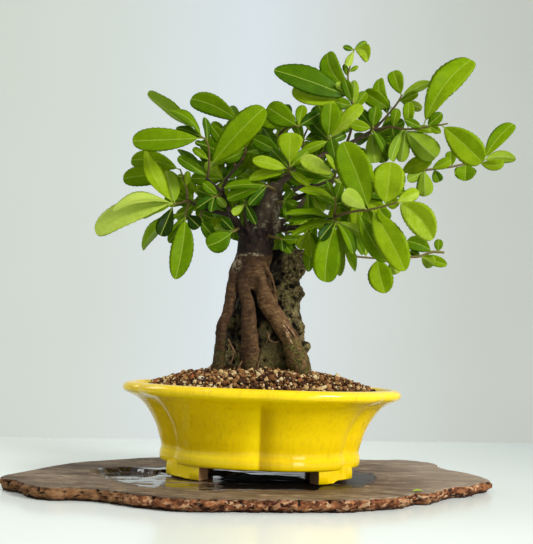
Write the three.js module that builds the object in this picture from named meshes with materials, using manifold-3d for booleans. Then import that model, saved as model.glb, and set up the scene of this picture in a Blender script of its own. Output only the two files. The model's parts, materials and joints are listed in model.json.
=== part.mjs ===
// Firethorn bonsai grown over a rock, in a glazed six-lobed pot on a live-edge slab of wood.
// Millimetres, +Z up. The origin lies on the table under the middle of the pot, and -Y is the front.

import * as THREE from "three";
import { mergeVertices } from "three/addons/utils/BufferGeometryUtils.js";
import Module from "manifold-3d";

const wasm = await Module();
wasm.setup();

// Driving dimensions
const gap = 0.3; // between pieces that touch
const clearance = 0.4; // what a round limb's corners are moved out by, so that its flats keep the gap
const slabThickness = 10;
const rimHalfLength = 120.2;
const rimHalfDepth = 92;
const depthPerLength = 0.83; // how fast the pot's half depth shrinks with its half length
const potSides = 36; // six points for each lobe
const lobes = 6;
const potFloorBottom = 20.5;
const potFloorTop = 27;
const footHalfLength = 84.5; // of the oval that the feet stand on
const footDepth = 12;
const footAngles = [23, 55]; // degrees from the long axis, where each foot starts and ends
const footSteps = 7;
const jointOverlap = 1; // how far the feet reach up into the pot's wall before they are joined to it
const drainOffset = 45;
const drainRadius = 10;
const drainSides = 20;
const drainCut = 20; // height of the cylinder that cuts a drain hole
const screenSize = 32;
const screenThickness = 0.8;
const screenPitch = 8;
const screenHole = 5;
const wireRadius = 0.75;
const wireBend = 1.2;
const wireReach = 4; // how far a clip's ends pass the edge of the drain hole
const pocketHeight = 7; // room left in the soil over each screen
const wireTension = 0.1; // how far a clip's bends round off
const wireSegments = 3;
const hollowSides = 14;
const hollowRings = 8;
const soilTop = 102.5;
const thickLimbSides = 8;
const thinLimbSides = 5;
const thickLimbWidth = 14; // picture units
const twigSides = 4;
const leafThickness = 1;
const petioleWidth = 1.1;
const leafAspect = 0.34; // usual width of a leaf over its length
const leafArch = 0.05; // rise of the midrib over its length
const backLeafLength = 32;
const backLeafWidth = 12;
const backLeafCount = 10;
const backLeafStart = 0.35; // share of an inner twig that bears no leaf
const backLeafTaper = 0.25; // how much shorter the last leaf of an inner twig is
const backSpreadTaper = 0.55; // how much less the last leaf spreads
const lastShare = 0.92; // how far along a stretch of twig a leaf may be rooted

// The eye that the plant was measured from. A measured place is how far across and down it is seen, in
// picture units, and its depth in millimetres behind the middle of the pot.
const eye = new THREE.Vector3(0.1, -770, 118.2);
const eyeLength = 879; // picture units from the eye to the picture
const pictureMiddle = { across: 266.5, down: 272 };
const eyePitch = THREE.MathUtils.degToRad(4.98);
const eyeRoll = THREE.MathUtils.degToRad(2.1);

function sight(across, down, depth) {
  const dx = across - pictureMiddle.across;
  const dy = pictureMiddle.down - down;
  const u = (dx * Math.cos(eyeRoll) - dy * Math.sin(eyeRoll)) / eyeLength;
  const v = (dx * Math.sin(eyeRoll) + dy * Math.cos(eyeRoll)) / eyeLength;
  const ray = new THREE.Vector3(
    u,
    Math.cos(eyePitch) - v * Math.sin(eyePitch),
    Math.sin(eyePitch) + v * Math.cos(eyePitch),
  );
  return ray.multiplyScalar((depth - eye.y) / ray.y).add(eye);
}

// Real size of one picture unit at a depth
function unitAt(depth) {
  return (depth - eye.y) / eyeLength;
}

// Wood, as rows of across, down, depth and seen width

const wood = {
  bole: [
    [249, 292, -2, 28], [252, 275, 0, 36], [254, 257, 0, 35.5], [256.8, 238, 0, 35.6],
    [263, 226, 1, 30.5], [268, 213, 1, 23.2], [271, 201, 0, 19.9], [274, 191, 0, 17.5],
    [277, 184, 0, 13],
  ],
  root_left: [
    [243.5, 258, -3, 16], [239.5, 268, -4, 17.5], [233, 284, -8, 12], [231, 297, -10, 13],
    [227, 314, -12, 10.5], [221.5, 329, -14, 10.5], [220.5, 341, -15, 12], [219, 357, -16, 12],
    [216, 371, -17, 13], [210, 386, -18, 10],
  ],
  root_middle: [
    [247, 270, -8, 20], [243, 284, -12, 12], [247.6, 304, -14, 14], [249, 320, -15, 15],
    [249.5, 335, -16, 17], [250, 350, -17, 18.5], [250, 366, -18, 18], [248, 386, -19, 13],
  ],
  root_right: [
    [257, 270, -4, 24], [262, 284, -8, 20], [267, 303, -12, 19], [274.5, 314, -13, 18],
    [281, 326, -14, 18], [289, 337, -15, 18], [294, 350, -15, 20], [298, 363, -15, 23],
    [306, 384, -14, 15],
  ],
  root_strand: [[264, 264, -10, 6], [271, 277, -17, 3.4], [275, 290, -17, 3], [276, 305, -13, 4]],
  root_back_left: [
    [247, 272, 6, 20], [241, 292, 16, 15], [237, 312, 25, 13], [233, 335, 32, 13],
    [230, 358, 36, 14], [226, 384, 38, 10],
  ],
  root_back_right: [
    [260, 270, 8, 22], [270, 290, 22, 16], [280, 312, 35, 15], [288, 335, 42, 14],
    [294, 358, 45, 15], [300, 384, 46, 10],
  ],
  limb_left: [
    [253, 246, -4, 15], [243, 234, -8, 10], [236, 222, -10, 8], [230, 211, -10, 6.5],
    [226.5, 204, -10, 5], [221.5, 192.4, -10, 4.4], [216, 187, -12, 3.8], [206, 178, -14, 3],
  ],
  limb_left_fork: [
    [222.5, 196, -10, 4.4], [223.5, 186, -6, 3.6], [229, 176, -2, 3.2], [236, 168, 2, 3],
    [243, 160, 4, 2.7],
  ],
  limb_left_low: [
    [233, 216, -8, 6], [222, 213, 2, 4.6], [213, 211, 8, 4.2], [203, 208, 12, 3.8],
    [193, 203, 12, 3.2], [186, 199.5, 10, 3],
  ],
  spur: [[251, 236, -12, 6], [246, 224, -15, 3.2], [244.8, 214, -16, 2.8], [244.8, 206, -17, 2.4]],
  limb_right: [
    [266, 233, -2, 10], [282, 228.6, -6, 6.5], [300, 227, -12, 5.2], [321, 223, -18, 4.6],
    [335, 217, -22, 4],
  ],
  limb_upper_right: [
    [275, 193, 0, 13], [279, 185, -1, 8], [286, 178, 0, 6.4], [296, 171, 2, 5.6],
    [310, 162, 6, 5.2], [334, 149, 8, 4.8], [350, 143, 6, 4.5], [363, 136, 4, 4.2],
    [375, 129.5, 2, 3.8],
  ],
  limb_middle: [
    [272, 200, -2, 10], [284, 197.5, -6, 5], [292, 192, -8, 4.4], [303, 186, -10, 4],
    [318, 185, -12, 3.4], [332, 180.5, -12, 3], [350, 180, 0, 2.8], [375, 177, 8, 2.6],
    [402, 172, 14, 2.4],
  ],
  limb_stub: [[270, 228, -2, 10], [285, 220, -10, 5.4], [296, 212, -14, 4.8], [305, 198, -16, 3.8]],
  limb_centre: [
    [291, 176, 1, 5], [287, 163, 2, 4.2], [282, 152, 4, 3.6], [279, 140, 6, 3.2],
    [281, 130, 6, 2.8],
  ],
  limb_back_left: [[265, 214, 4, 12], [252, 208, 24, 7.5], [240, 198, 42, 5.5], [231, 186, 56, 4]],
  limb_back_right: [[275, 206, 4, 10], [292, 200, 24, 6.5], [312, 192, 42, 5], [332, 184, 56, 4]],
};

// Shoots that the front shows. The twig has rows like the wood. A leaf is where it leaves the twig
// (across, down), its tip (across, down), its seen width, how much deeper its tip lies, which side it
// shows, and how far its middle bows to the left of its way. Side 1 is the upper face.

const shoots = {
  shoot_left_crown: {
    twig: [
      [207.5, 179, -13, 3], [209, 165, -20, 2.4], [209, 150, -26, 2.2], [206, 140, -31, 2],
      [200, 136, -35, 1.8],
    ],
    leaves: [
      [201, 136, 147, 95, 12, 20, -1, 2.5], [202, 137, 169, 110, 10, 9, 1, -4],
      [203, 138, 132.5, 141, 24, -8, 1, 0.5], [204, 139, 176, 127, 9, 2, 1],
      [208, 160, 193, 148, 8, -6, 1], [208, 146, 195, 142, 6, -4, 1], [207, 143, 205, 117, 8, 6, 1],
      [209, 168, 264, 108, 28, -20, 1, 2], [208, 177, 178, 157, 12, -6, 1],
      [208, 172, 178, 149, 7, 2, 1, 3], [209, 170, 244, 147, 9, -10, 1],
    ],
  },
  shoot_left_top: {
    twig: [
      [187, 200, 10, 2.8], [187, 192, 12, 2.3], [186, 186, 14, 2.1], [183, 177, 16, 1.9],
      [180, 169, 18, 1.7],
    ],
    leaves: [
      [181, 170, 131, 160, 20, -4, 1, -4], [183, 177, 123, 179, 21, -12, 1, -3],
      [186, 187, 188, 171, 7, 5, 1],
    ],
  },
  shoot_left_long: {
    twig: [[188, 200.5, 11, 2.6], [180, 203, -2, 2.2], [173, 204, -14, 2]],
    leaves: [
      [174, 203.5, 145, 146, 17, 2, 1, 8], [175, 203.5, 166, 171, 22, 9, -1],
      [173, 203, 95, 230.5, 24, -14, 1, -4], [170, 204.4, 113, 210.5, 11, -26, 1, -5],
      [173, 204, 143, 219, 7, -4, 1],
      [174, 204, 160.7, 235, 17, -14, 1], [176, 204, 136, 212, 8, 14, -1],
    ],
  },
  shoot_left_hanging: {
    twig: [[189, 201.5, 11, 2.6], [187, 208, -1, 2.2], [185, 217, -16, 2]],
    leaves: [
      [185, 216, 169, 243, 12, 3, 1], [185, 217, 175.4, 279, 23, -10, 1, 2],
      [186, 214, 199.5, 227, 15, -8, 1], [186, 212, 142.4, 249, 13, 16, 1, -3],
    ],
  },
  shoot_left_under: {
    twig: [[203, 208.5, 11, 3], [201, 214, 2, 2.2], [199.5, 220, -8, 1.9]],
    leaves: [
      [199.5, 219.5, 217, 241, 14, -6, 1], [201, 214, 213, 218.5, 9, -3, 1],
      [200, 217, 209, 228, 9, 8, 1],
    ],
  },
  shoot_trunk_left: {
    twig: [[239, 228, -10, 3.6], [236, 230, -18, 2.6], [232, 232, -24, 2]],
    leaves: [
      [232, 232, 207, 246, 22, -3, 1, 2], [234, 231, 222, 219, 11, -2, 1],
      [233, 231.5, 214, 228, 11, 4, -1],
    ],
  },
  shoot_spur: {
    twig: [[244.8, 208, -17, 2.6], [245.5, 201, -19, 2]],
    leaves: [
      [245.3, 203.6, 256, 224.5, 9, -6, 1], [245.2, 204.2, 232, 214, 9, -5, -1],
      [245.5, 202, 236, 192, 9, 3, 1], [245.5, 203, 258, 195, 10, 4, 1],
    ],
  },
  shoot_left_fork: {
    twig: [[222.2, 194, -10, 3.2], [218, 196, -17, 2.2], [213, 197, -21, 1.9]],
    leaves: [
      [213.5, 197, 197, 208, 12, -3, 1], [215, 196.5, 197, 190, 10, 5, 1],
      [218, 195.5, 203, 183, 11, -6, 1], [214, 197, 211, 212, 9, -6, 1],
      [216, 196, 226, 207, 9, 5, -1],
    ],
  },
  shoot_bole_top: {
    twig: [[275, 190, -6, 4], [270, 187, -15, 2.4], [265, 185.5, -19, 2]],
    leaves: [
      [266, 186, 224, 187, 10, -6, 1], [265.5, 186, 227, 199, 13, 3, 1],
      [267, 186, 240, 176, 11, 6, 1], [267, 186, 249, 205, 11, -5, 1],
    ],
  },
  shoot_centre_left: {
    twig: [[242, 161, 4, 3], [246, 150, 5, 2.4], [244, 136, 7, 2.1], [240, 122, 10, 1.9]],
    leaves: [
      [240, 123, 191, 99, 22, 4, 1, -4], [245.5, 148, 249, 130, 8, -5, 1],
      [244, 136, 222, 128, 12, 8, 1], [242, 129, 252, 110, 11, 8, 1],
      [246, 151, 225, 160, 13, -3, 1], [245.5, 153, 266, 147, 13, 7, 1],
      [241, 125, 230, 106, 11, 10, 1],
    ],
  },
  shoot_centre_right: {
    twig: [[280.5, 133, 6, 3], [288, 127, -6, 2.3], [299, 126.5, -18, 2]],
    leaves: [
      [282, 131.5, 263, 112, 24, -10, 1], [298, 126.5, 267, 107, 24, -1, 1],
      [299, 126, 303, 105, 12, 6, 1], [290, 127, 285, 104, 12, 9, 1],
      [299, 126.5, 320, 113, 13, 6, 1],
    ],
  },
  shoot_centre_dark: {
    twig: [[283.5, 156, 3, 3.4], [279, 151, -5, 2.2]],
    leaves: [
      [279.5, 151.5, 254, 139, 16, -4, 1], [280.5, 152.5, 263, 128, 12, 9, 1],
      [280, 152, 262, 158, 10, 5, 1],
    ],
  },
  shoot_centre_young: {
    twig: [[291, 175, 0, 4], [288, 171, -14, 2.5], [290, 166, -26, 2.1]],
    leaves: [
      [289.7, 167, 290, 132.5, 26, -10, 1], [288.6, 169, 253, 160, 13, -11, 1],
      [288, 171, 248, 179, 11, -8, 1], [288.5, 170, 310, 187, 9, -8, 1],
      [289.2, 168, 271, 149, 11, 6, 1], [289.6, 167, 308, 151, 12, 6, 1],
    ],
  },
  shoot_centre_small: {
    twig: [
      [306, 165, 5, 3], [304, 150, 13, 2.2], [304, 137, 20, 2], [311, 122, 25, 1.7],
      [310, 117, 27, 1.5],
    ],
    leaves: [
      [304, 142, 294, 121, 11, 6, 1], [304.3, 140, 323, 133, 13, 5, 1],
      [310.5, 119, 318, 106, 8, -2, 1], [304, 146, 320, 146, 11, -3, 1],
    ],
  },
  shoot_middle_bright: {
    twig: [[331, 181, -12, 3.2], [334, 177, -23, 2.3], [338, 168, -30, 2]],
    leaves: [
      [335, 175, 301, 158, 17, -4, 1], [333, 179, 296, 167, 14, 3, 1],
      [336, 172, 326, 154, 6, -6, 1], [338, 168.5, 331, 139, 14, 2, 1],
      [333.5, 178, 345, 189, 8, -6, -1],
    ],
  },
  shoot_hub_up: {
    twig: [[334, 217, -22, 3], [335.5, 207, -27, 2.3], [335, 197, -30, 2]],
    leaves: [
      [335.1, 198, 298.6, 190, 9, -4, 1], [335.2, 200, 341, 183, 11, -3, 1],
      [335.4, 205, 318, 196, 9, 4, 1], [335.2, 199, 327, 181, 8, 3, 1],
      [335.4, 204, 350, 201, 9, -5, 1],
    ],
  },
  shoot_right_fan: {
    twig: [
      [335, 217, -22, 3.6], [346, 213, -32, 2.8], [357, 211, -38, 2.6], [370, 209.5, -44, 2.4],
      [385, 206, -50, 2.1], [398, 202, -56, 1.8],
    ],
    leaves: [
      [369, 209.6, 343, 142, 35, -8, 1, -1], [385, 206, 391, 162, 34, -2, 1],
      [397.5, 202, 433, 239, 29, -10, 1, 5], [371, 209.5, 405, 271, 29, -18, 1, 2],
      [358, 211, 387, 262, 20, -6, 1, -3], [367, 210, 343, 192, 18, -18, -1],
      [378, 208, 388, 221, 15, -6, 1], [396, 203, 419, 191, 14, 6, 1],
    ],
  },
  shoot_hub_down: {
    twig: [[334.5, 217, -22, 3], [336, 223, -33, 2.2]],
    leaves: [
      [335.5, 221, 367, 236, 12, -9, -1], [336, 223, 325, 282, 28, -8, 1, -3],
      [336, 223, 356.6, 271, 10, -2, 1, -3], [336, 222, 339, 276, 9, 8, -1],
      [335, 220, 320, 239, 12, -14, 1], [336, 222, 353, 254, 11, -12, 1, 2],
      [335.5, 221, 364, 254, 12, 3, 1, 1], [334.5, 218, 286.6, 221, 8, -12, 1],
      [334.7, 219, 291, 236, 8, -7, 1], [334.6, 218, 285, 214, 8, -3, 1],
    ],
  },
  shoot_low_right: {
    twig: [
      [325, 222, -19, 3.6], [332, 240, -8, 2.5], [346.4, 253.6, 0, 2.3], [373, 258, 6, 2.1],
      [411, 257, 10, 2.6], [421, 256, 12, 2.6], [432, 252, 14, 2.8], [444, 252.5, 16, 2.4],
    ],
    leaves: [
      [377, 258, 385, 293, 25, -8, 1, -1], [390, 257.8, 397, 274, 12, -3, -1],
      [432, 252, 407, 241, 16, -3, 1, -2], [422, 257, 447, 265, 11, -7, 1],
      [438, 252, 439, 239, 9, 2, 1], [421, 257, 434, 265, 14, -9, -1],
      [366, 257, 364, 243, 9, 3, -1], [421, 256, 410, 251, 8, 5, 1],
    ],
  },
  shoot_far_right: {
    twig: [
      [400, 172.4, 13, 3], [415, 171, 17, 2.6], [430, 169.5, 20, 2.5], [450, 167, 24, 2.3],
      [465, 164, 28, 2.2], [478, 163, 30, 2], [484, 160, 32, 1.8],
    ],
    leaves: [
      [401, 172.3, 431, 158, 16, -5, 1], [484, 160.2, 513, 124, 17, 8, 1, 2],
      [483, 160.6, 516, 159, 13, -4, -1, 3], [479, 162.6, 504, 164, 11, -10, 1, -2],
      [466, 164, 465, 181, 22, -8, 1], [452, 166.5, 450, 151, 11, 4, 1],
      [431, 169.4, 451, 160, 11, -6, 1], [434, 169, 439, 182, 11, 5, 1],
      [424, 170, 425, 197, 17, -9, -1], [428, 169.7, 407, 180, 12, -4, -1],
    ],
  },
  shoot_upper_right: {
    twig: [
      [373, 130.5, 2, 3.4], [390, 127, -6, 2.6], [402, 129, -12, 2.3], [412, 129, -16, 2.2],
      [425, 127, -20, 2], [440, 125, -24, 1.9], [448, 123.5, -26, 1.6],
    ],
    leaves: [
      [423, 127.2, 471, 60, 29, 6, 1, 5.5], [427, 126.8, 442, 113, 12, -6, 1],
      [408, 129, 409, 102, 12, -4, 1], [393, 127.4, 397, 108, 11, 7, 1],
      [430, 126.3, 441, 133, 8, -4, 1], [422, 127.3, 405, 120, 9, -3, 1],
      [410, 129, 436, 131, 8, 2, 1], [404, 129, 436, 158, 26, -12, -1],
      [441, 125, 482, 162, 29, -9, 1, 1], [392, 127.3, 398, 151, 9, -3, 1],
      [403, 129, 391, 161, 12, -9, -1], [406, 129, 401, 162, 14, 4, -1],
    ],
  },
  shoot_right_inner: {
    twig: [[370, 133, 3, 3.4], [373, 127, -9, 2.3]],
    leaves: [
      [373, 127, 376, 107, 15, -5, 1], [372.5, 128, 359, 110, 12, -1, 1],
      [372.3, 128.6, 350, 124, 12, -4, 1], [371.5, 130, 375, 163, 18, -12, -1],
      [372, 129, 388, 158, 9, -4, 1],
    ],
  },
  shoot_right_tower: {
    twig: [
      [373.5, 130.5, 3, 3], [384, 119, 12, 2.4], [392, 110, 18, 2.2], [398, 102, 22, 2],
      [402, 95, 25, 1.8],
    ],
    leaves: [
      [401.5, 96, 393, 71, 16, 3, 1], [393, 108.5, 379.5, 78.5, 14, 6, 1, 6],
      [392, 110, 364, 92, 18, -2, 1], [398, 102, 418, 93, 9, -6, 1],
      [401.5, 96, 431, 82, 10, -4, -1], [399, 100, 422, 109, 10, -10, -1],
      [388, 115, 384, 98, 10, 12, 1],
    ],
  },
  shoot_top: {
    twig: [
      [346, 145.5, 7, 3.4], [351, 130, 2, 2.7], [353, 115, -2, 2.5], [352, 100, -6, 2.3],
      [350, 88, -9, 2.1], [348, 79, -10, 2], [349, 70, -10, 1.8], [352, 60, -9, 1.7],
      [354, 49, -8, 1.5],
    ],
    leaves: [
      [353.8, 50, 347, 66, 8, -8, -1], [353.8, 50, 343, 46.5, 6, -2, 1],
      [353.9, 49.5, 368, 61, 15, -3, 1, 6], [353.9, 49.5, 367, 41.5, 6, 4, 1],
      [348, 77, 344, 64, 6, 3, 1], [349, 72, 358.5, 66, 5, -3, 1], [351.8, 98, 274, 70, 26, -12, 1],
      [350.2, 89, 327, 53, 22, 2, 1, 6], [352, 100, 292, 91, 18, -4, 1, 5],
      [352.5, 106, 336, 102, 12, -6, 1], [349, 84, 331, 70, 9, 8, 1],
      [351.6, 96, 336, 83, 8, -10, -1], [352.2, 103, 345, 80, 11, -12, 1],
      [352.6, 108, 354.5, 80, 11, -16, -1], [352.7, 110, 366, 92, 11, -6, 1],
    ],
  },
  shoot_top_folded: {
    twig: [[333, 150, 8, 3.6], [330, 144, -5, 2.4], [328, 138, -15, 2.1]],
    leaves: [
      [328.3, 139, 331, 103, 22, -9, 1], [328.6, 140, 362, 105, 15, -5, 1],
      [328.8, 140.5, 302, 152, 11, -9, 1], [328.5, 139.5, 310, 121, 12, 7, 1],
      [329.5, 142, 346, 134, 9, 6, 1],
    ],
  },
  shoot_low_centre: {
    twig: [[306, 226.5, -13, 3.6], [309, 232, -21, 2.2]],
    leaves: [
      [309, 231.5, 311.6, 258, 13, -6, 1], [308.5, 231, 299, 249, 11, 3, 1],
      [309, 231, 321, 251, 12, -1, 1], [308.8, 231.5, 309, 272, 13, 8, 1],
    ],
  },
  shoot_trunk_right: {
    twig: [[266, 235, -8, 4], [276, 237.5, -17, 2.6], [282, 239, -21, 2]],
    leaves: [
      [281.7, 239, 291, 253, 11, -2, 1], [281.8, 239, 296, 240, 10, -6, 1],
      [281.5, 239, 283, 251, 8, -6, 1],
    ],
  },
  shoot_trunk_high: {
    twig: [[275, 203, -5, 3.4], [284, 201, -14, 2]],
    leaves: [
      [283.6, 201, 292, 213, 8, -3, 1], [283.8, 201, 286, 220, 7, -8, 1],
      [283.8, 201, 299, 206, 9, 3, 1], [283.6, 201, 293, 190, 9, -1, 1],
    ],
  },
};

// Shoots behind and inside the canopy: where each twig starts on the wood and where it ends, as across,
// down and depth

const innerShoots = {
  shoot_back_1: [[232, 188, 54], [214, 166, 66]],
  shoot_back_2: [[234, 190, 50], [242, 160, 62]],
  shoot_back_3: [[236, 193, 48], [212, 205, 62]],
  shoot_back_4: [[241, 199, 41], [248, 224, 60]],
  shoot_back_5: [[330, 185, 54], [350, 166, 66]],
  shoot_back_6: [[326, 187, 51], [316, 160, 64]],
  shoot_back_7: [[328, 186, 52], [348, 212, 62]],
  shoot_back_8: [[310, 193, 41], [306, 218, 56]],
  shoot_back_9: [[334, 149, 9], [330, 122, 34]],
  shoot_back_10: [[363, 136, 5], [386, 136, 34]],
  shoot_back_11: [[205, 209, 12], [186, 196, 36]],
  shoot_back_12: [[236, 168, 3], [226, 138, 28]],
  shoot_back_13: [[279, 141, 7], [270, 130, 34]],
  shoot_back_14: [[362, 178.6, 4], [384, 190, 30]],
  shoot_back_15: [[288, 180, 3], [280, 170, 34]],
  shoot_back_16: [[292, 200, 25], [296, 182, 44]],
  shoot_back_17: [[286, 229, -4], [286, 238, 26]],
  shoot_back_18: [[303, 186, -8], [312, 194, 18]],
  shoot_back_19: [[236, 221, -8], [232, 206, 20]],
  shoot_back_20: [[229, 177, 0], [220, 182, 28]],
  shoot_back_21: [[275, 190, 3], [262, 182, 30]],
  shoot_back_22: [[350, 180, 2], [366, 208, 26]],
};
const innerTwigWidths = [3, 1.8];

// Solids

function asManifold(geometry) {
  const bare = geometry.clone();
  bare.deleteAttribute("normal");
  bare.deleteAttribute("uv");
  const merged = mergeVertices(bare, 1e-4);
  const vertProperties = new Float32Array(merged.getAttribute("position").array);
  const triVerts = new Uint32Array(merged.getIndex().array);
  return new wasm.Manifold(new wasm.Mesh({ numProp: 3, vertProperties, triVerts }));
}

function asGeometry(solid) {
  const mesh = solid.getMesh();
  const geometry = new THREE.BufferGeometry();
  geometry.setAttribute("position", new THREE.BufferAttribute(mesh.vertProperties, 3));
  geometry.setIndex(new THREE.BufferAttribute(mesh.triVerts, 1));
  geometry.computeVertexNormals();
  return geometry;
}

function largestBody(solid) {
  const bodies = solid.decompose();
  return bodies.reduce((best, body) => (body.volume() > best.volume() ? body : best));
}

// A closed skin through rings of equal count, turning left about the way they go, with a point at each end
function lofted(rings, start, end) {
  const count = rings[0].length;
  const middle = (ring) => ring.reduce((sum, p) => sum.add(p), new THREE.Vector3()).divideScalar(count);
  const points = [start ?? middle(rings[0]), ...rings.flat(), end ?? middle(rings[rings.length - 1])];
  const at = (ring, k) => 1 + ring * count + (k % count);
  const last = points.length - 1;
  const faces = [];
  for (let k = 0; k < count; k += 1) {
    faces.push(0, at(0, k + 1), at(0, k));
    faces.push(last, at(rings.length - 1, k), at(rings.length - 1, k + 1));
    for (let ring = 0; ring + 1 < rings.length; ring += 1) {
      faces.push(at(ring, k), at(ring, k + 1), at(ring + 1, k + 1));
      faces.push(at(ring, k), at(ring + 1, k + 1), at(ring + 1, k));
    }
  }
  const geometry = new THREE.BufferGeometry().setFromPoints(points);
  geometry.setIndex(faces);
  return geometry;
}

// A limb: a round section that follows a smooth path and changes width along it
function limb(rows, sides, grow = 0) {
  const places = rows.map(([across, down, depth]) => sight(across, down, depth));
  const curve = new THREE.CatmullRomCurve3(places);
  const radii = rows.map(([, , depth, width]) => (width / 2) * unitAt(depth) + grow);
  const steps = rows.length - 1;
  const frames = curve.computeFrenetFrames(steps, false);
  const rings = [];
  for (const [step, radius] of radii.entries()) {
    const centre = curve.getPoint(step / steps);
    if (step === 0 || step === steps) {
      centre.addScaledVector(frames.tangents[step], step === 0 ? -grow : grow);
    }
    const ring = [];
    for (let k = 0; k < sides; k += 1) {
      const turn = (2 * Math.PI * k) / sides;
      const point = centre.clone();
      point.addScaledVector(frames.normals[step], radius * Math.cos(turn));
      point.addScaledVector(frames.binormals[step], radius * Math.sin(turn));
      ring.push(point);
    }
    rings.push(ring);
  }
  return asManifold(lofted(rings));
}

function joined(solids) {
  return solids.reduce((whole, solid) => whole.add(solid));
}

// Slab of wood with its bark edge left on

const slabOutline = [
  [204, 12], [203, 30], [196, 55], [181, 78], [174, 102], [176, 118], [168, 133], [146, 144],
  [122, 136], [60, 131], [-20, 119], [-96, 95], [-131, 67], [-162, 39], [-181, 5], [-196, -36],
  [-205, -60], [-199, -71], [-187, -80], [-176, -97], [-158, -108], [-140, -105], [-118, -108],
  [-90, -123], [-55, -134], [-13, -130], [30, -122], [67, -114], [95, -99], [112, -88], [124, -70],
  [137, -66], [150, -46], [165, -28], [180, -19], [192, 0],
];
const slabEdgeSteps = 72;
const slabUndercut = 5;
const slabTopInset = 1;
const slabBelly = 0.55; // share of the thickness at which the edge reaches furthest
const hollows = [
  { x: -112, y: -22, halfLength: 31, halfWidth: 38, depth: 4 },
  { x: -50, y: 0, halfLength: 42, halfWidth: 18.5, depth: 4.5 },
];

function slabRing(inset, z) {
  const curve = new THREE.CatmullRomCurve3(slabOutline.map(([x, y]) => new THREE.Vector3(x, y, 0)), true);
  return curve.getPoints(slabEdgeSteps).slice(0, slabEdgeSteps).map((p) => {
    const scale = 1 - inset / Math.hypot(p.x, p.y);
    return new THREE.Vector3(p.x * scale, p.y * scale, z);
  });
}

function slab() {
  let body = asManifold(lofted([
    slabRing(slabUndercut, 0),
    slabRing(0, slabThickness * slabBelly),
    slabRing(slabTopInset, slabThickness),
  ]));
  for (const { x, y, halfLength, halfWidth, depth } of hollows) {
    const dish = new THREE.SphereGeometry(1, hollowSides, hollowRings);
    dish.scale(halfLength, halfWidth, depth);
    dish.translate(x, y, slabThickness);
    body = body.subtract(asManifold(dish));
  }
  return body;
}

// Glazed pot

function ovalRing(halfLength, z, notch, inset = 0) {
  const halfDepth = rimHalfDepth + (halfLength - rimHalfLength) * depthPerLength;
  const ring = [];
  for (let k = 0; k < potSides; k += 1) {
    const turn = (2 * Math.PI * k) / potSides;
    const crease = (1 - Math.abs(Math.cos((lobes / 2) * turn))) ** 2;
    const scale = 1 - notch * crease;
    ring.push(new THREE.Vector3(
      (halfLength * scale - inset) * Math.cos(turn),
      (halfDepth * scale - inset) * Math.sin(turn),
      z,
    ));
  }
  return ring;
}

// Half length, height and notch depth, from the underside out and up over the lip
const potOutside = [
  [81.5, 20.5, 0.04], [85.2, 21.5, 0.045], [86.3, 24.5, 0.045], [86.2, 28.5, 0.045], [85.4, 31.5, 0.05],
  [85.6, 35.5, 0.055], [87.7, 42, 0.055], [90.3, 50, 0.055], [94.4, 58, 0.055], [99.7, 66, 0.05],
  [104, 70.5, 0.047], [108.5, 73.8, 0.042], [113.5, 76.2, 0.038], [117.6, 78, 0.035], [119.8, 80, 0.034],
  [120.2, 82.2, 0.032], [119.2, 84.3, 0.032], [116.8, 86, 0.032], [113, 86.6, 0.032],
];
// The inside, from the floor up
const potInside = [
  [75, 27, 0.04], [78.5, 29.5, 0.045], [80.5, 38, 0.045], [84.5, 52, 0.045], [92, 66, 0.045],
  [100.5, 75, 0.04], [105.5, 80.2, 0.036], [109.5, 84.6, 0.034],
];

function foot(sign) {
  const footHalfDepth = rimHalfDepth + (footHalfLength - rimHalfLength) * depthPerLength;
  const point = (share, inset) => {
    const turn = THREE.MathUtils.degToRad(THREE.MathUtils.lerp(...footAngles, share));
    return new THREE.Vector2(
      sign.x * (footHalfLength - inset) * Math.cos(turn),
      sign.y * (footHalfDepth - inset) * Math.sin(turn),
    );
  };
  const shares = Array.from({ length: footSteps + 1 }, (_, step) => step / footSteps);
  const outline = [
    ...shares.map((share) => point(share, 0)),
    ...shares.toReversed().map((share) => point(share, footDepth)),
  ];
  const height = potFloorBottom - slabThickness - gap + jointOverlap;
  const shape = new THREE.Shape(outline);
  const block = new THREE.ExtrudeGeometry(shape, { depth: height, bevelEnabled: false });
  block.translate(0, 0, slabThickness + gap);
  return asManifold(block);
}

function drainHole(side) {
  const hole = new THREE.CylinderGeometry(drainRadius, drainRadius, drainCut, drainSides);
  hole.rotateX(Math.PI / 2);
  hole.translate(side * drainOffset, 0, potFloorBottom);
  return asManifold(hole);
}

function pot() {
  const rings = [
    ...potOutside.map(([halfLength, z, notch]) => ovalRing(halfLength, z, notch)),
    ...potInside.toReversed().map(([halfLength, z, notch]) => ovalRing(halfLength, z, notch)),
  ];
  let body = asManifold(lofted(rings));
  for (const x of [-1, 1]) {
    for (const y of [-1, 1]) {
      body = body.add(foot({ x, y }));
    }
    body = body.subtract(drainHole(x));
  }
  return body;
}

// Mesh over each drain hole, with its wire clip

function drainScreen(side) {
  let screen = asManifold(new THREE.BoxGeometry(screenSize, screenSize, screenThickness));
  const places = [-1, 0, 1].map((step) => step * screenPitch);
  for (const x of places) {
    for (const y of places) {
      const hole = new THREE.BoxGeometry(screenHole, screenHole, 2 * screenThickness);
      screen = screen.subtract(asManifold(hole.translate(x, y, 0)));
    }
  }
  return screen.translate(side * drainOffset, 0, potFloorTop + gap + screenThickness / 2);
}

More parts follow.
